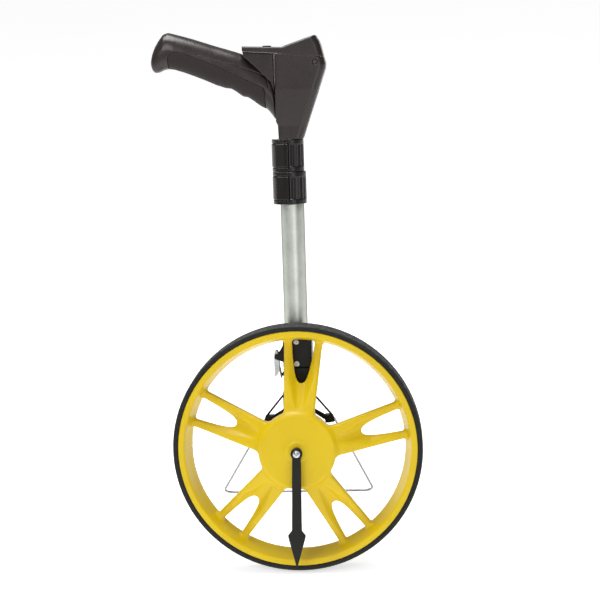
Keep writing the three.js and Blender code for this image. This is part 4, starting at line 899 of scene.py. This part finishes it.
finish_piece(make_arm(), "chassis", BLACK, ["arm"])


def make_upper_bracket():
    cell = 0.55
    grid = Grid((LATCH_X - 4, BLOCK_FRONT, HINGE_Z - 5), (25, BLOCK_BACK, BLOCK_TOP), cell)
    shell = both(plate_xz(grid, soften([
        (BLOCK_LEFT, HINGE_Z + GAP / 2), (BLOCK_RIGHT, HINGE_Z + GAP / 2), (BLOCK_RIGHT, BLOCK_TOP - 8),
        (BLOCK_RIGHT - 2.5, BLOCK_TOP), (BLOCK_LEFT + 0.5, BLOCK_TOP), (BLOCK_LEFT, BLOCK_TOP - 6)], 1.5)),
        between(grid.y, BLOCK_FRONT, BLOCK_BACK), 1.8)
    ear = plate_xz(grid, [
        (BLOCK_LEFT + 1, LATCH_Z - 7), (BLOCK_LEFT + 1, LATCH_Z + 16), (LATCH_X + 2, LATCH_Z + 3.6),
        *arc(LATCH_X, LATCH_Z, 3.6, 90, 250, 10)])
    inner = LATCH_HALF + GAP
    for low, high in ((-inner - 2.4, -inner), (inner, inner + 2.4)):
        shell = either(shell, both(ear, between(grid.y, LATCH_Y + low, LATCH_Y + high), 0.4), 1.0)
    for low, high in ((-inner - 1, -LATCH_HALF + 1.8), (LATCH_HALF - 1.8, inner + 1)):
        shell = either(shell, rod(grid, 1.5, LATCH_Y + low, LATCH_Y + high, LATCH_X, LATCH_Z))
    shell = less(shell, rod_z(grid, TUBE_R + GAP, TUBE_Z - GAP, BLOCK_TOP + 5, 0, POLE_Y), 0.3)
    a, b, c, d = KNUCKLES
    shell = less(shell, knuckle_pair(grid, KNUCKLE_R + GAP, [(a - 5, b + GAP), (c - GAP, d + 5)]))
    shell = either(shell, knuckle_pair(grid, KNUCKLE_R, [(b + GAP, c - GAP)]))
    shell = less(shell, rod(grid, HINGE_PIN_R + 0.15, BLOCK_FRONT - 5, BLOCK_BACK + 5, HINGE_X, HINGE_Z))
    shell = less(shell, rod(grid, 2.3, BLOCK_FRONT - 5, BLOCK_BACK + 5, 0.6, BLOCK_TOP - 17))
    shell = less(shell, rod(grid, 2.3, BLOCK_FRONT - 5, BLOCK_FRONT + 14, 0.6, HINGE_Z + 5.6))
    return moulded("upper_bracket_moulding", grid, shell, keep=0.45)


finish_piece(make_upper_bracket(), "pole", BLACK, ["upper_bracket"])


def make_stand_bracket():
    cell = 0.5
    x, pivot_y, z = STAND_PIVOT
    grid = Grid((-x - 6, BRACKET_Y0, z - 7), (x + 6, pivot_y + 6, 66), cell)
    body = plate_xz(grid, soften([(-20, 64), (-20, 38), (-16, 32), (16, 32), (20, 38), (20, 64)], 1.5))
    for side in (1, -1):
        wing = [(17, 64), (x + 3, z + 5), (x + 5, z - 4), (x - 3, z - 5), (17, 36)]
        opening = [(20.5, 56), (x - 1.7, z + 6.6), (x - 3.5, z + 3.6), (20.5, 40)]
        wing_field = plate_xz(grid, soften([(side * px, pz) for px, pz in wing], 2))
        opening_field = plate_xz(grid, soften([(side * px, pz) for px, pz in opening], 1.5))
        body = less(either(body, wing_field, 2), opening_field, 0.5)
    body = both(body, between(grid.y, BRACKET_Y0, BRACKET_Y1), 0.8)
    lug = plate_yz(grid, [(BRACKET_Y0, z - 5), (pivot_y, z - 5.5), *arc(pivot_y, z, 5.5, -80, 80, 10),
                          (pivot_y, z + 5.5), (BRACKET_Y0, z + 5)])
    for side in (1, -1):
        low, high = sorted((side * (x - 8), side * (x - 1.5)))
        body = either(body, both(lug, between(grid.x, low, high), 0.6), 1.0)
    body = less(body, np.hypot(grid.y - pivot_y, grid.z - z) - 2.3)
    for sx, sz in BRACKET_SCREWS:
        body = less(body, rod(grid, 2, BRACKET_Y0 - 5, BRACKET_Y1 + 5, sx, sz))
    return moulded("stand_bracket_moulding", grid, body, keep=0.45)


finish_piece(make_stand_bracket(), "chassis", BLACK, ["stand_bracket"])


def make_stand_wire():
    x, y, z = STAND_PIVOT
    out = x + 3
    path = [
        (x - 8, y, z), (out, y, z), (STAND_SKEW + STAND_HALF, y + STAND_BACK, z - STAND_DROP),
        (STAND_SKEW - STAND_HALF, y + STAND_BACK, z - STAND_DROP), (-out, y, z), (-x + 8, y, z),
    ]
    return sweep("stand_wire_loop", path, WIRE_R, 16, 16, 12)


finish_piece(make_stand_wire(), "stand", WIRE, ["stand_wire"])


# ---- Pole -----------------------------------------------------------------

def make_tube(name, radius, low, high):
    foot = [(radius - TUBE_WALL, low), (radius - 0.3, low), (radius, low + 0.3)]
    top = [(radius, high - 0.5), (radius - 0.4, high), (radius - TUBE_WALL, high)]
    steps = max(2, int((high - low) / 30))
    side = [(radius, low + 0.3 + (high - low - 0.8) * k / steps) for k in range(1, steps)]
    return lathe(name, foot + side + top, 96, "Z", (0, POLE_Y, 0))


MIDDLE_FOOT = BLOCK_TOP + 4
INNER_FOOT = MIDDLE_FOOT + 16
for node, body, radius, low, high in (
    ("outer_tube", "pole", TUBE_R, TUBE_Z, LOWER_COLLAR_Z + COLLAR_H / 2),
    ("middle_tube", "middle", MIDDLE_R, MIDDLE_FOOT, UPPER_COLLAR_Z + COLLAR_H / 2),
    ("inner_tube", "head", INNER_R, INNER_FOOT, NECK_Z + 42),
):
    tube = make_tube(node + "_drawn", radius, low, high - GAP)
    finish_piece(tube, body, ALUMINIUM, [node])


def lever_band(radius, within=0.0):
    """Plan of the closed lever, drawn in from its outside by a distance."""
    return [
        *arc(0, 0, radius - 1.3, LEVER_FROM, LEVER_TO, 20),
        *arc(0, 0, radius + 2 - within, LEVER_TO, LEVER_TO - 16, 5),
        *arc(0, 0, LEVER_REACH - within, LEVER_TO - 40, LEVER_FROM + 14, 12),
    ]


def make_collar(name, radius, tube, gripped, low):
    """A clamp collar, fluted down its length, with the lug for its lever."""
    height = COLLAR_H
    grid = Grid((-LEVER_REACH, -LEVER_REACH, 0), (radius, radius, height), 0.45)
    radii = np.hypot(grid.x, grid.y)
    flute = FLUTE_DEPTH * np.cos(np.arctan2(grid.y, grid.x) * FLUTES)
    sleeve = both(radii - radius + FLUTE_DEPTH - flute, between(grid.z, -0.1, height + 0.1), 0.35)
    for foot in (0, height - BAND):
        sleeve = either(sleeve, both(radii - radius, between(grid.z, foot, foot + BAND), 0.7), 0.3)
    closed = plate_xy(grid, lever_band(radius, 0.3))
    px, py = LEVER_PIVOT
    lug = plate_xy(grid, [*arc(px, py, 3.6, 90, 270, 12), (px + 8, py - 3.6), (px + 8, py + 3.6)])
    collar = either(sleeve, both(lug, between(grid.z, 1, height - 1), 0.8), 1.0)
    collar = less(collar, rod_z(grid, 4.3, 5, height - 5, px, py))
    sweep_band = plate_xy(grid, [*arc(0, 0, radius - 1.6, LEVER_FROM - 6, LEVER_TO + 2, 20),
                                 *arc(0, 0, LEVER_REACH + 4, LEVER_TO + 2, LEVER_FROM - 6, 20)])
    collar = less(collar, both(sweep_band, between(grid.z, 4.7, height - 4.7)), 0.3)
    for foot in (0, height - FLANGE):
        collar = either(collar, both(closed, between(grid.z, foot, foot + FLANGE), 0.4))
    collar = less(collar, rod_z(grid, tube + GAP, -1, height / 2))
    collar = less(collar, rod_z(grid, gripped + GAP, -1, height + 1))
    collar = less(collar, rod_z(grid, LEVER_HOLE, -1, height + 1, px, py))
    return moulded(name, grid, collar, (0, POLE_Y, low), keep=0.45)


def make_lever(name, radius, low):
    """The lever that closes over a collar's front left quarter."""
    height = COLLAR_H - 10.6
    bottom = (COLLAR_H - height) / 2
    cell = 0.42
    grid = Grid((-LEVER_REACH, -LEVER_REACH, bottom), (2, 11, COLLAR_H - bottom), cell)
    px, py = LEVER_PIVOT
    tall = between(grid.z, bottom, COLLAR_H - bottom)
    lever = both(plate_xy(grid, lever_band(radius)), tall, 1.3)
    barrel = both(np.hypot(grid.x - px, grid.y - py) - 3.4, tall, 0.4)
    neck = both(between(grid.x, px - 4.2, px + 1.2), between(grid.y, py - 9, py), 0.4)
    lever = either(either(lever, both(neck, tall, 0.8), 0.8), barrel, 0.8)
    for k in range(4):
        z = COLLAR_H / 2 - 6 + 4 * k
        groove = np.hypot(np.hypot(grid.x, grid.y) - LEVER_REACH - 0.5, grid.z - z) - 1.1
        wanted = between(np.degrees(np.arctan2(grid.y, grid.x)) % 360, 222, 258) * 0.2
        lever = less(lever, both(groove, wanted), 0.3)
    lever = less(lever, np.hypot(grid.x, grid.y) - (radius - 1.3))
    lever = less(lever, np.hypot(grid.x - px, grid.y - py) - LEVER_HOLE)
    return moulded(name, grid, lever, (0, POLE_Y, low), keep=0.45)


for side, body, radius, tube, gripped, low in (
    ("lower", "pole", LOWER_COLLAR_R, TUBE_R, MIDDLE_R, LOWER_COLLAR_Z),
    ("upper", "middle", UPPER_COLLAR_R, MIDDLE_R, INNER_R, UPPER_COLLAR_Z),
):
    collar = make_collar(side + "_collar_moulding", radius, tube, gripped, low)
    finish_piece(collar, body, COLLAR, [side + "_collar"])
for side, radius, low in (
    ("lower", LOWER_COLLAR_R, LOWER_COLLAR_Z),
    ("upper", UPPER_COLLAR_R, UPPER_COLLAR_Z),
):
    lever = make_lever(side + "_lever_moulding", radius, low)
    finish_piece(lever, side + "_clamp", COLLAR, [side + "_clamp_lever"])


# ---- Head -----------------------------------------------------------------

FAR = 300
HEAD_RIGHT = [
    (-FAR, -FAR), (-60, -FAR), (SLANT_FOOT[0] - 13.83, -40), SLANT_FOOT, SLANT_TOP, (47.8, 91.8),
    (45.6, 101.2), (40, 130), (-FAR, 130),
]
HEAD_LEFT = [
    (FAR, -FAR), (FAR, FAR), (-14.4, FAR), (-15.4, 106.8), (-16.6, 22), (-14.4, 17), (-13.8, 0),
    (-13.8, -FAR),
]
HEAD_ENDS = [(-FAR, 0), (FAR, 0), (FAR, 78), (34.3, 102), (-7, 106.1), (-15.4, 106.8), (-FAR, 106.8)]
COVER_RIGHT = [
    (-FAR, 60), (50, 84), (45.5, 101.6), (42.2, 114.8), (40, 121), (37.4, 124.8), (33.4, 135), (-FAR, 135),
]
SLOPE_START = (-6.9, 114.4)
SLOPE_END = (31.2, 126.9)
COVER_TOP = [(-56.3, -FAR), (FAR, -FAR), (FAR, 230), SLOPE_END, SLOPE_START, (-55.9, 116.5)]
COVER_FOOT = [
    (-FAR, 110.2), (-56.2, 110.2), (-15, 107), (-7, 106.22), (34.3, 102.12), (FAR, 78), (FAR, FAR),
    (-FAR, FAR),
]

HANDLE_STATIONS = [
    (-15, 18, 66, 15), (-17, 22.2, 68, 15), (-20.5, 28.5, 76.6, 15.6), (-27, 36.8, 83.2, 16),
    (-36, 41.6, 92.2, HANDLE_HALF), (-45, 48.6, 96.8, HANDLE_HALF), (-51.5, 53, 101.4, HANDLE_HALF),
    (-58, 54.2, 107.4, HANDLE_HALF), (-66, 60.4, 110.2, HANDLE_HALF), (-72, 64.2, 112, HANDLE_HALF),
    (-80, 65.4, 114.6, HANDLE_HALF), (-91, 69.2, 118, HANDLE_HALF), (-105, 75.6, 122.8, HANDLE_HALF),
    (-118, 81, 127.2, HANDLE_HALF), (-131, 86, 131.2, HANDLE_HALF), (-143, 90, 134.6, HANDLE_HALF),
    (-150, 91, 136.4, 16), (-156.5, 89.8, 134.4, 15.4), (-162.5, 87, 126.8, 14.6), (-167.5, 86.4, 118.8, 13),
    (-171.2, 89.4, 110, 10.6), (-173, 95, 102.8, 6.4),
]
RUBBER_EDGE = [
    (-150, 106), (-147, 111), (-136, 111.8), (-96.4, 96.5), (-69.6, 83.6), (-49.5, 73.6), (-30, 64),
    (-29, 32),
]
HEAD_AT = (0, POLE_Y, NECK_Z)


def head_taper(grid):
    half = np.interp(grid.lines[2], [16, 62], [NECK_HALF, HEAD_HALF])[None, None, :]
    return (np.abs(grid.y) - half).astype(np.float32) * 0.99


def head_outside(grid):
    sides = both(head_taper(grid), plate_xz(grid, HEAD_RIGHT), 9.0)
    return both(both(sides, plate_xz(grid, HEAD_LEFT), 2.0), plate_xz(grid, HEAD_ENDS), 0.35)


def slant_coordinates(grid):
    """Distance along, and out of, the head's slanted side."""
    lean = math.atan2(SLANT_TOP[0] - SLANT_FOOT[0], SLANT_TOP[1])
    x = grid.x - SLANT_FOOT[0]
    along = x * math.sin(lean) + grid.z * math.cos(lean)
    out = x * math.cos(lean) - grid.z * math.sin(lean)
    return along, out


DOOR_HALF, DOOR_LOW, DOOR_HIGH, DOOR_THICK = 14, 24, 74, 2


def door_region(grid, more):
    along, out = slant_coordinates(grid)
    region = both(np.abs(grid.y) - DOOR_HALF - more, between(along, DOOR_LOW - more, DOOR_HIGH + more), 2)
    return np.maximum(region, -9 - out)


def finish_halves(name, grid, shell):
    """A shell split along its middle into a front and a back."""
    for end, side in (("front", 1), ("back", -1)):
        half = both(shell, side * grid.y + GAP / 2, 0.25)
        half = moulded(f"{name}_{end}_shell", grid, half, HEAD_AT, keep=0.4)
        finish_piece(half, "head", HEAD, [f"{name}_{end}"])


def make_head_shells():
    grid = Grid((-17, -HEAD_HALF, 0), (48, HEAD_HALF, 107), 0.6)
    outside = head_outside(grid)
    cavity = both(outside + 2.4, between(grid.z, 46, 140))
    top = plate_xz(grid, [(-12, 95), (40, 95), (38, 112), (-12, 112)])
    top = both(top, np.abs(grid.y) - HEAD_HALF + 2.4)
    shell = less(less(outside, cavity), top)
    x, z = HEAD_SCREW
    shell = either(shell, rod(grid, 4.6, -HEAD_HALF + 1, HEAD_HALF - 1, x, z))
    shell = less(shell, rod_z(grid, INNER_R + GAP, -5, 42))
    shell = less(shell, rod_z(grid, INNER_R - TUBE_WALL, 30, 60))
    recess = both(door_region(grid, GAP), -(outside + DOOR_THICK + GAP))
    shell = less(shell, recess, 0.2)
    shell = less(shell, rod(grid, 3.4, -HEAD_HALF - 1, -HEAD_HALF + 2.1, x, z), 0.5)
    shell = less(shell, rod(grid, 1.9, -HEAD_HALF - 1, 0, x, z))
    finish_halves("head", grid, shell)
    door = both(both(outside, -(outside + DOOR_THICK)), door_region(grid, 0), 0.3)
    along, out = slant_coordinates(grid)
    for k in range(5):
        place = DOOR_HIGH - 10 - 3.2 * k
        groove = both(np.abs(along - place) - 0.7, np.abs(grid.y) - 7, 0.3)
        door = less(door, both(groove, -(outside + 0.7)), 0.3)
    door = moulded("battery_door_moulding", grid, door, HEAD_AT, keep=0.5)
    finish_piece(door, "door", HEAD, ["battery_door"])


make_head_shells()

SLOPE = math.atan2(SLOPE_END[1] - SLOPE_START[1], SLOPE_END[0] - SLOPE_START[0])
KEY_X = -26
KEY_YS = (-12.5, 0, 12.5)
KEY_R = 4.6


def slope_coordinates(grid):
    x, z = grid.x - SLOPE_START[0], grid.z - SLOPE_START[1]
    return x * math.cos(SLOPE) + z * math.sin(SLOPE), -x * math.sin(SLOPE) + z * math.cos(SLOPE)


def on_slope(grid, low, high, half, out0, out1, edge=0.0):
    along, out = slope_coordinates(grid)
    return both(both(between(along, low, high), np.abs(grid.y) - half, edge), between(out, out0, out1))


def make_cover():
    grid = Grid((-57, -HEAD_HALF, 101), (46, HEAD_HALF, 127), 0.5)
    sides = both(np.abs(grid.y) - HEAD_HALF, plate_xz(grid, COVER_RIGHT), 8.0)
    outside = both(both(sides, plate_xz(grid, COVER_TOP), 2.4), plate_xz(grid, COVER_FOOT), 0.35)
    within = np.abs(grid.y) - HEAD_HALF + 2
    cavity = both(both(outside + 2.0, within), plate_xz(grid, [
        (-54, 100), (43, 96), (42.6, 104), (39.6, 114), (35.6, 122.6), (30.8, 124.4),
        (-6.6, 112.2), (-54, 114.2)]))
    open_below = both(plate_xz(grid, [(-53.5, 100), (42, 92), (41.5, 106), (-53.5, 112)]), within)
    cover = less(less(outside, cavity), open_below)
    cover = less(cover, on_slope(grid, 5, 36, 17, -6, 3, 1))
    cover = less(cover, on_slope(grid, 3.4, 37.6, 18.6, -1, 3, 2), 0.25)
    for y in KEY_YS:
        cover = less(cover, rod_z(grid, KEY_R + GAP, 105, 125, KEY_X, y), 0.3)
    return moulded("head_cover_moulding", grid, cover, HEAD_AT, keep=0.4)


finish_piece(make_cover(), "head", HEAD, ["head_cover"])


def smooth_line(xs, ys, width):
    """A line through points, smoothed over a width, as a function."""
    fine = np.arange(min(xs) - 10, max(xs) + 10, 0.25)
    order = np.argsort(xs)
    values = np.interp(fine, np.array(xs)[order], np.array(ys)[order])
    kernel = np.exp(-0.5 * (np.arange(-24, 25) * 0.25 / width) ** 2)
    kernel /= kernel.sum()
    padded = np.pad(values, 24, mode="edge")
    return lambda x: np.interp(x, fine, np.convolve(padded, kernel, "valid"))


def handle_field(grid):
    xs, lows, highs, halves = (list(column) for column in zip(*HANDLE_STATIONS))
    low, high, half = (smooth_line(xs, ys, 0.9)(grid.lines[0]) for ys in (lows, highs, halves))
    middle, tall = ((low + high) / 2)[:, None, None], ((high - low) / 2)[:, None, None]
    half = half[:, None, None]
    power = np.where(grid.z > middle, 1.9, 2.56)
    reach = (np.abs(grid.y / half) ** power + np.abs((grid.z - middle) / tall) ** power) ** (1 / power)
    body = ((reach - 1) * np.minimum(half, tall)).astype(np.float32)
    return both(body, between(grid.x, -173.1, -16.9), 3.0)


def make_handle():
    grid = Grid((-174, -HANDLE_HALF, 20), (-16.5, HANDLE_HALF, 138), 0.62)
    whole = handle_field(grid)
    zone = plate_xz(grid, soften([(-150, 60), *RUBBER_EDGE, (-29, 10)], 5))
    rubber = both(both(whole, zone, 0.4), -(whole + RUBBER))
    rubber = moulded("grip_rubber_moulding", grid, rubber, HEAD_AT, keep=0.45)
    finish_piece(rubber, "head", GRIP, ["grip_rubber"])
    recess = both(zone - GAP, -(whole + RUBBER + GAP))
    shell = less(less(whole, recess, 0.3), whole + RUBBER + GAP + 2.8)
    groove = [(-113, 108.6), (-69, 94.9), (-49, 87.2), (-30.5, 79.6), (-26.5, 74.8), (-24.4, 64)]
    line = line_distance(grid.lines[0][:, None], grid.lines[2][None, :], groove)[:, None, :] - 0.55
    shell = less(shell, both(line, -(whole + 0.9)), 0.3)
    finish_halves("handle", grid, shell)


make_handle()


def make_rear_filler():
    grid = Grid((-56.5, -HANDLE_HALF, 49), (-17, HANDLE_HALF, 110), 0.6)
    outline = [(-17.4, 107), (-56, 110), (-55, 104), (-40, 90), (-22, 72), (-17.9, 60), (-17.6, 50)]
    body = both(plate_xz(grid, outline), np.abs(grid.y) - HANDLE_HALF + 0.5, 1.4)
    body = less(body, handle_field(grid) - GAP)
    return moulded("rear_filler_moulding", grid, body, HEAD_AT, keep=0.45)


finish_piece(make_rear_filler(), "head", HEAD, ["rear_filler"])


# ---- Stage ----------------------------------------------------------------

FLOOR_GLOW = 0.6
FLOOR_REACH = 20
STUDIO_FRONT = 0.5
STUDIO_SIDE = 0.18


def make_floor():
    """White paper that glows a little, so that it stays white in the shadows."""
    finish = Finish("floor paper", Specular_IOR_Level=0.1, Emission_Color=(1, 1, 1, 1),
                    Emission_Strength=FLOOR_GLOW)
    finish.colour(finish.mix(finish.noise(3, 2), linear((250, 250, 250)), linear((246, 246, 246))))
    finish.rough(finish.spread(finish.noise(30, 2), 0.3, 0.7, 0.85, 0.95))
    corners = [(x * FLOOR_REACH, y * FLOOR_REACH, 0) for x, y in ((-1, -1), (1, -1), (1, 1), (-1, 1))]
    mesh = bpy.data.meshes.new("floor")
    mesh.from_pydata(corners, [], [(0, 1, 2, 3)])
    floor = bpy.data.objects.new("floor", mesh)
    bpy.context.scene.collection.objects.link(floor)
    mesh.materials.append(finish.material)


def area_light(name, place, size, power, target=(0, 0, 0.3)):
    lamp = bpy.data.lights.new(name, "AREA")
    lamp.shape = "DISK"
    lamp.size = size
    lamp.energy = power
    obj = bpy.data.objects.new(name, lamp)
    bpy.context.scene.collection.objects.link(obj)
    obj.location = place
    obj.rotation_euler = (Vector(target) - Vector(place)).to_track_quat("-Z", "Y").to_euler()


def make_studio():
    """Soft light all round, bright in front and overhead and dim to the sides."""
    world = bpy.data.worlds.new("studio")
    bpy.context.scene.world = world
    world.use_nodes = True
    tree = world.node_tree
    split = tree.nodes.new("ShaderNodeSeparateXYZ")
    tree.links.new(tree.nodes.new("ShaderNodeTexCoord").outputs["Generated"], split.inputs[0])
    aside = tree.nodes.new("ShaderNodeMath")
    aside.operation = "ABSOLUTE"
    tree.links.new(split.outputs["X"], aside.inputs[0])
    fall = tree.nodes.new("ShaderNodeMapRange")
    fall.interpolation_type = "SMOOTHSTEP"
    limits = {"From Min": 0.25, "From Max": 0.8, "To Min": STUDIO_FRONT, "To Max": STUDIO_SIDE}
    for socket, value in limits.items():
        fall.inputs[socket].default_value = value
    tree.links.new(aside.outputs[0], fall.inputs["Value"])
    tree.links.new(fall.outputs["Result"], tree.nodes["Background"].inputs["Strength"])
    tree.nodes["Background"].inputs["Color"].default_value = (1, 1, 1, 1)


make_floor()
make_studio()
area_light("key", (-0.9, -1.9, 1.9), 1.2, 14)
area_light("fill", (0.7, -2.2, 0.9), 1.4, 6)
area_light("top", (-0.35, 0.1, 2.0), 1.1, 32)

# ---- Camera: seen slightly from the right and from above -------------------

CAMERA_TURN = math.radians(3.399)
CAMERA_RISE = math.radians(8.347)
CAMERA_ROLL = math.radians(-1.752)
CAMERA_DISTANCE = 2100
AIM_ACROSS = 2.402
AIM_UP = 187.856
PICTURE = 600
SENSOR = 36
FOCAL = 1643.679 / PICTURE * SENSOR

level = math.cos(CAMERA_RISE)
outward = Vector((math.sin(CAMERA_TURN) * level, -math.cos(CAMERA_TURN) * level, math.sin(CAMERA_RISE)))
right = Vector((math.cos(CAMERA_TURN), math.sin(CAMERA_TURN), 0))
upward = outward.cross(right)
right, upward = (right * math.cos(CAMERA_ROLL) + upward * math.sin(CAMERA_ROLL),
                 upward * math.cos(CAMERA_ROLL) - right * math.sin(CAMERA_ROLL))
aim = right * AIM_ACROSS + upward * AIM_UP
pose = Matrix((right, upward, outward)).transposed().to_4x4()
pose.translation = (aim + outward * CAMERA_DISTANCE) * MM
camera_data = bpy.data.cameras.new("camera")
camera_data.sensor_width = SENSOR
camera_data.lens = FOCAL
camera = bpy.data.objects.new("camera", camera_data)
bpy.context.scene.collection.objects.link(camera)
camera.matrix_world = WHEEL_FRAME @ pose
bpy.context.scene.camera = camera
bpy.context.scene.view_settings.view_transform = "Standard"
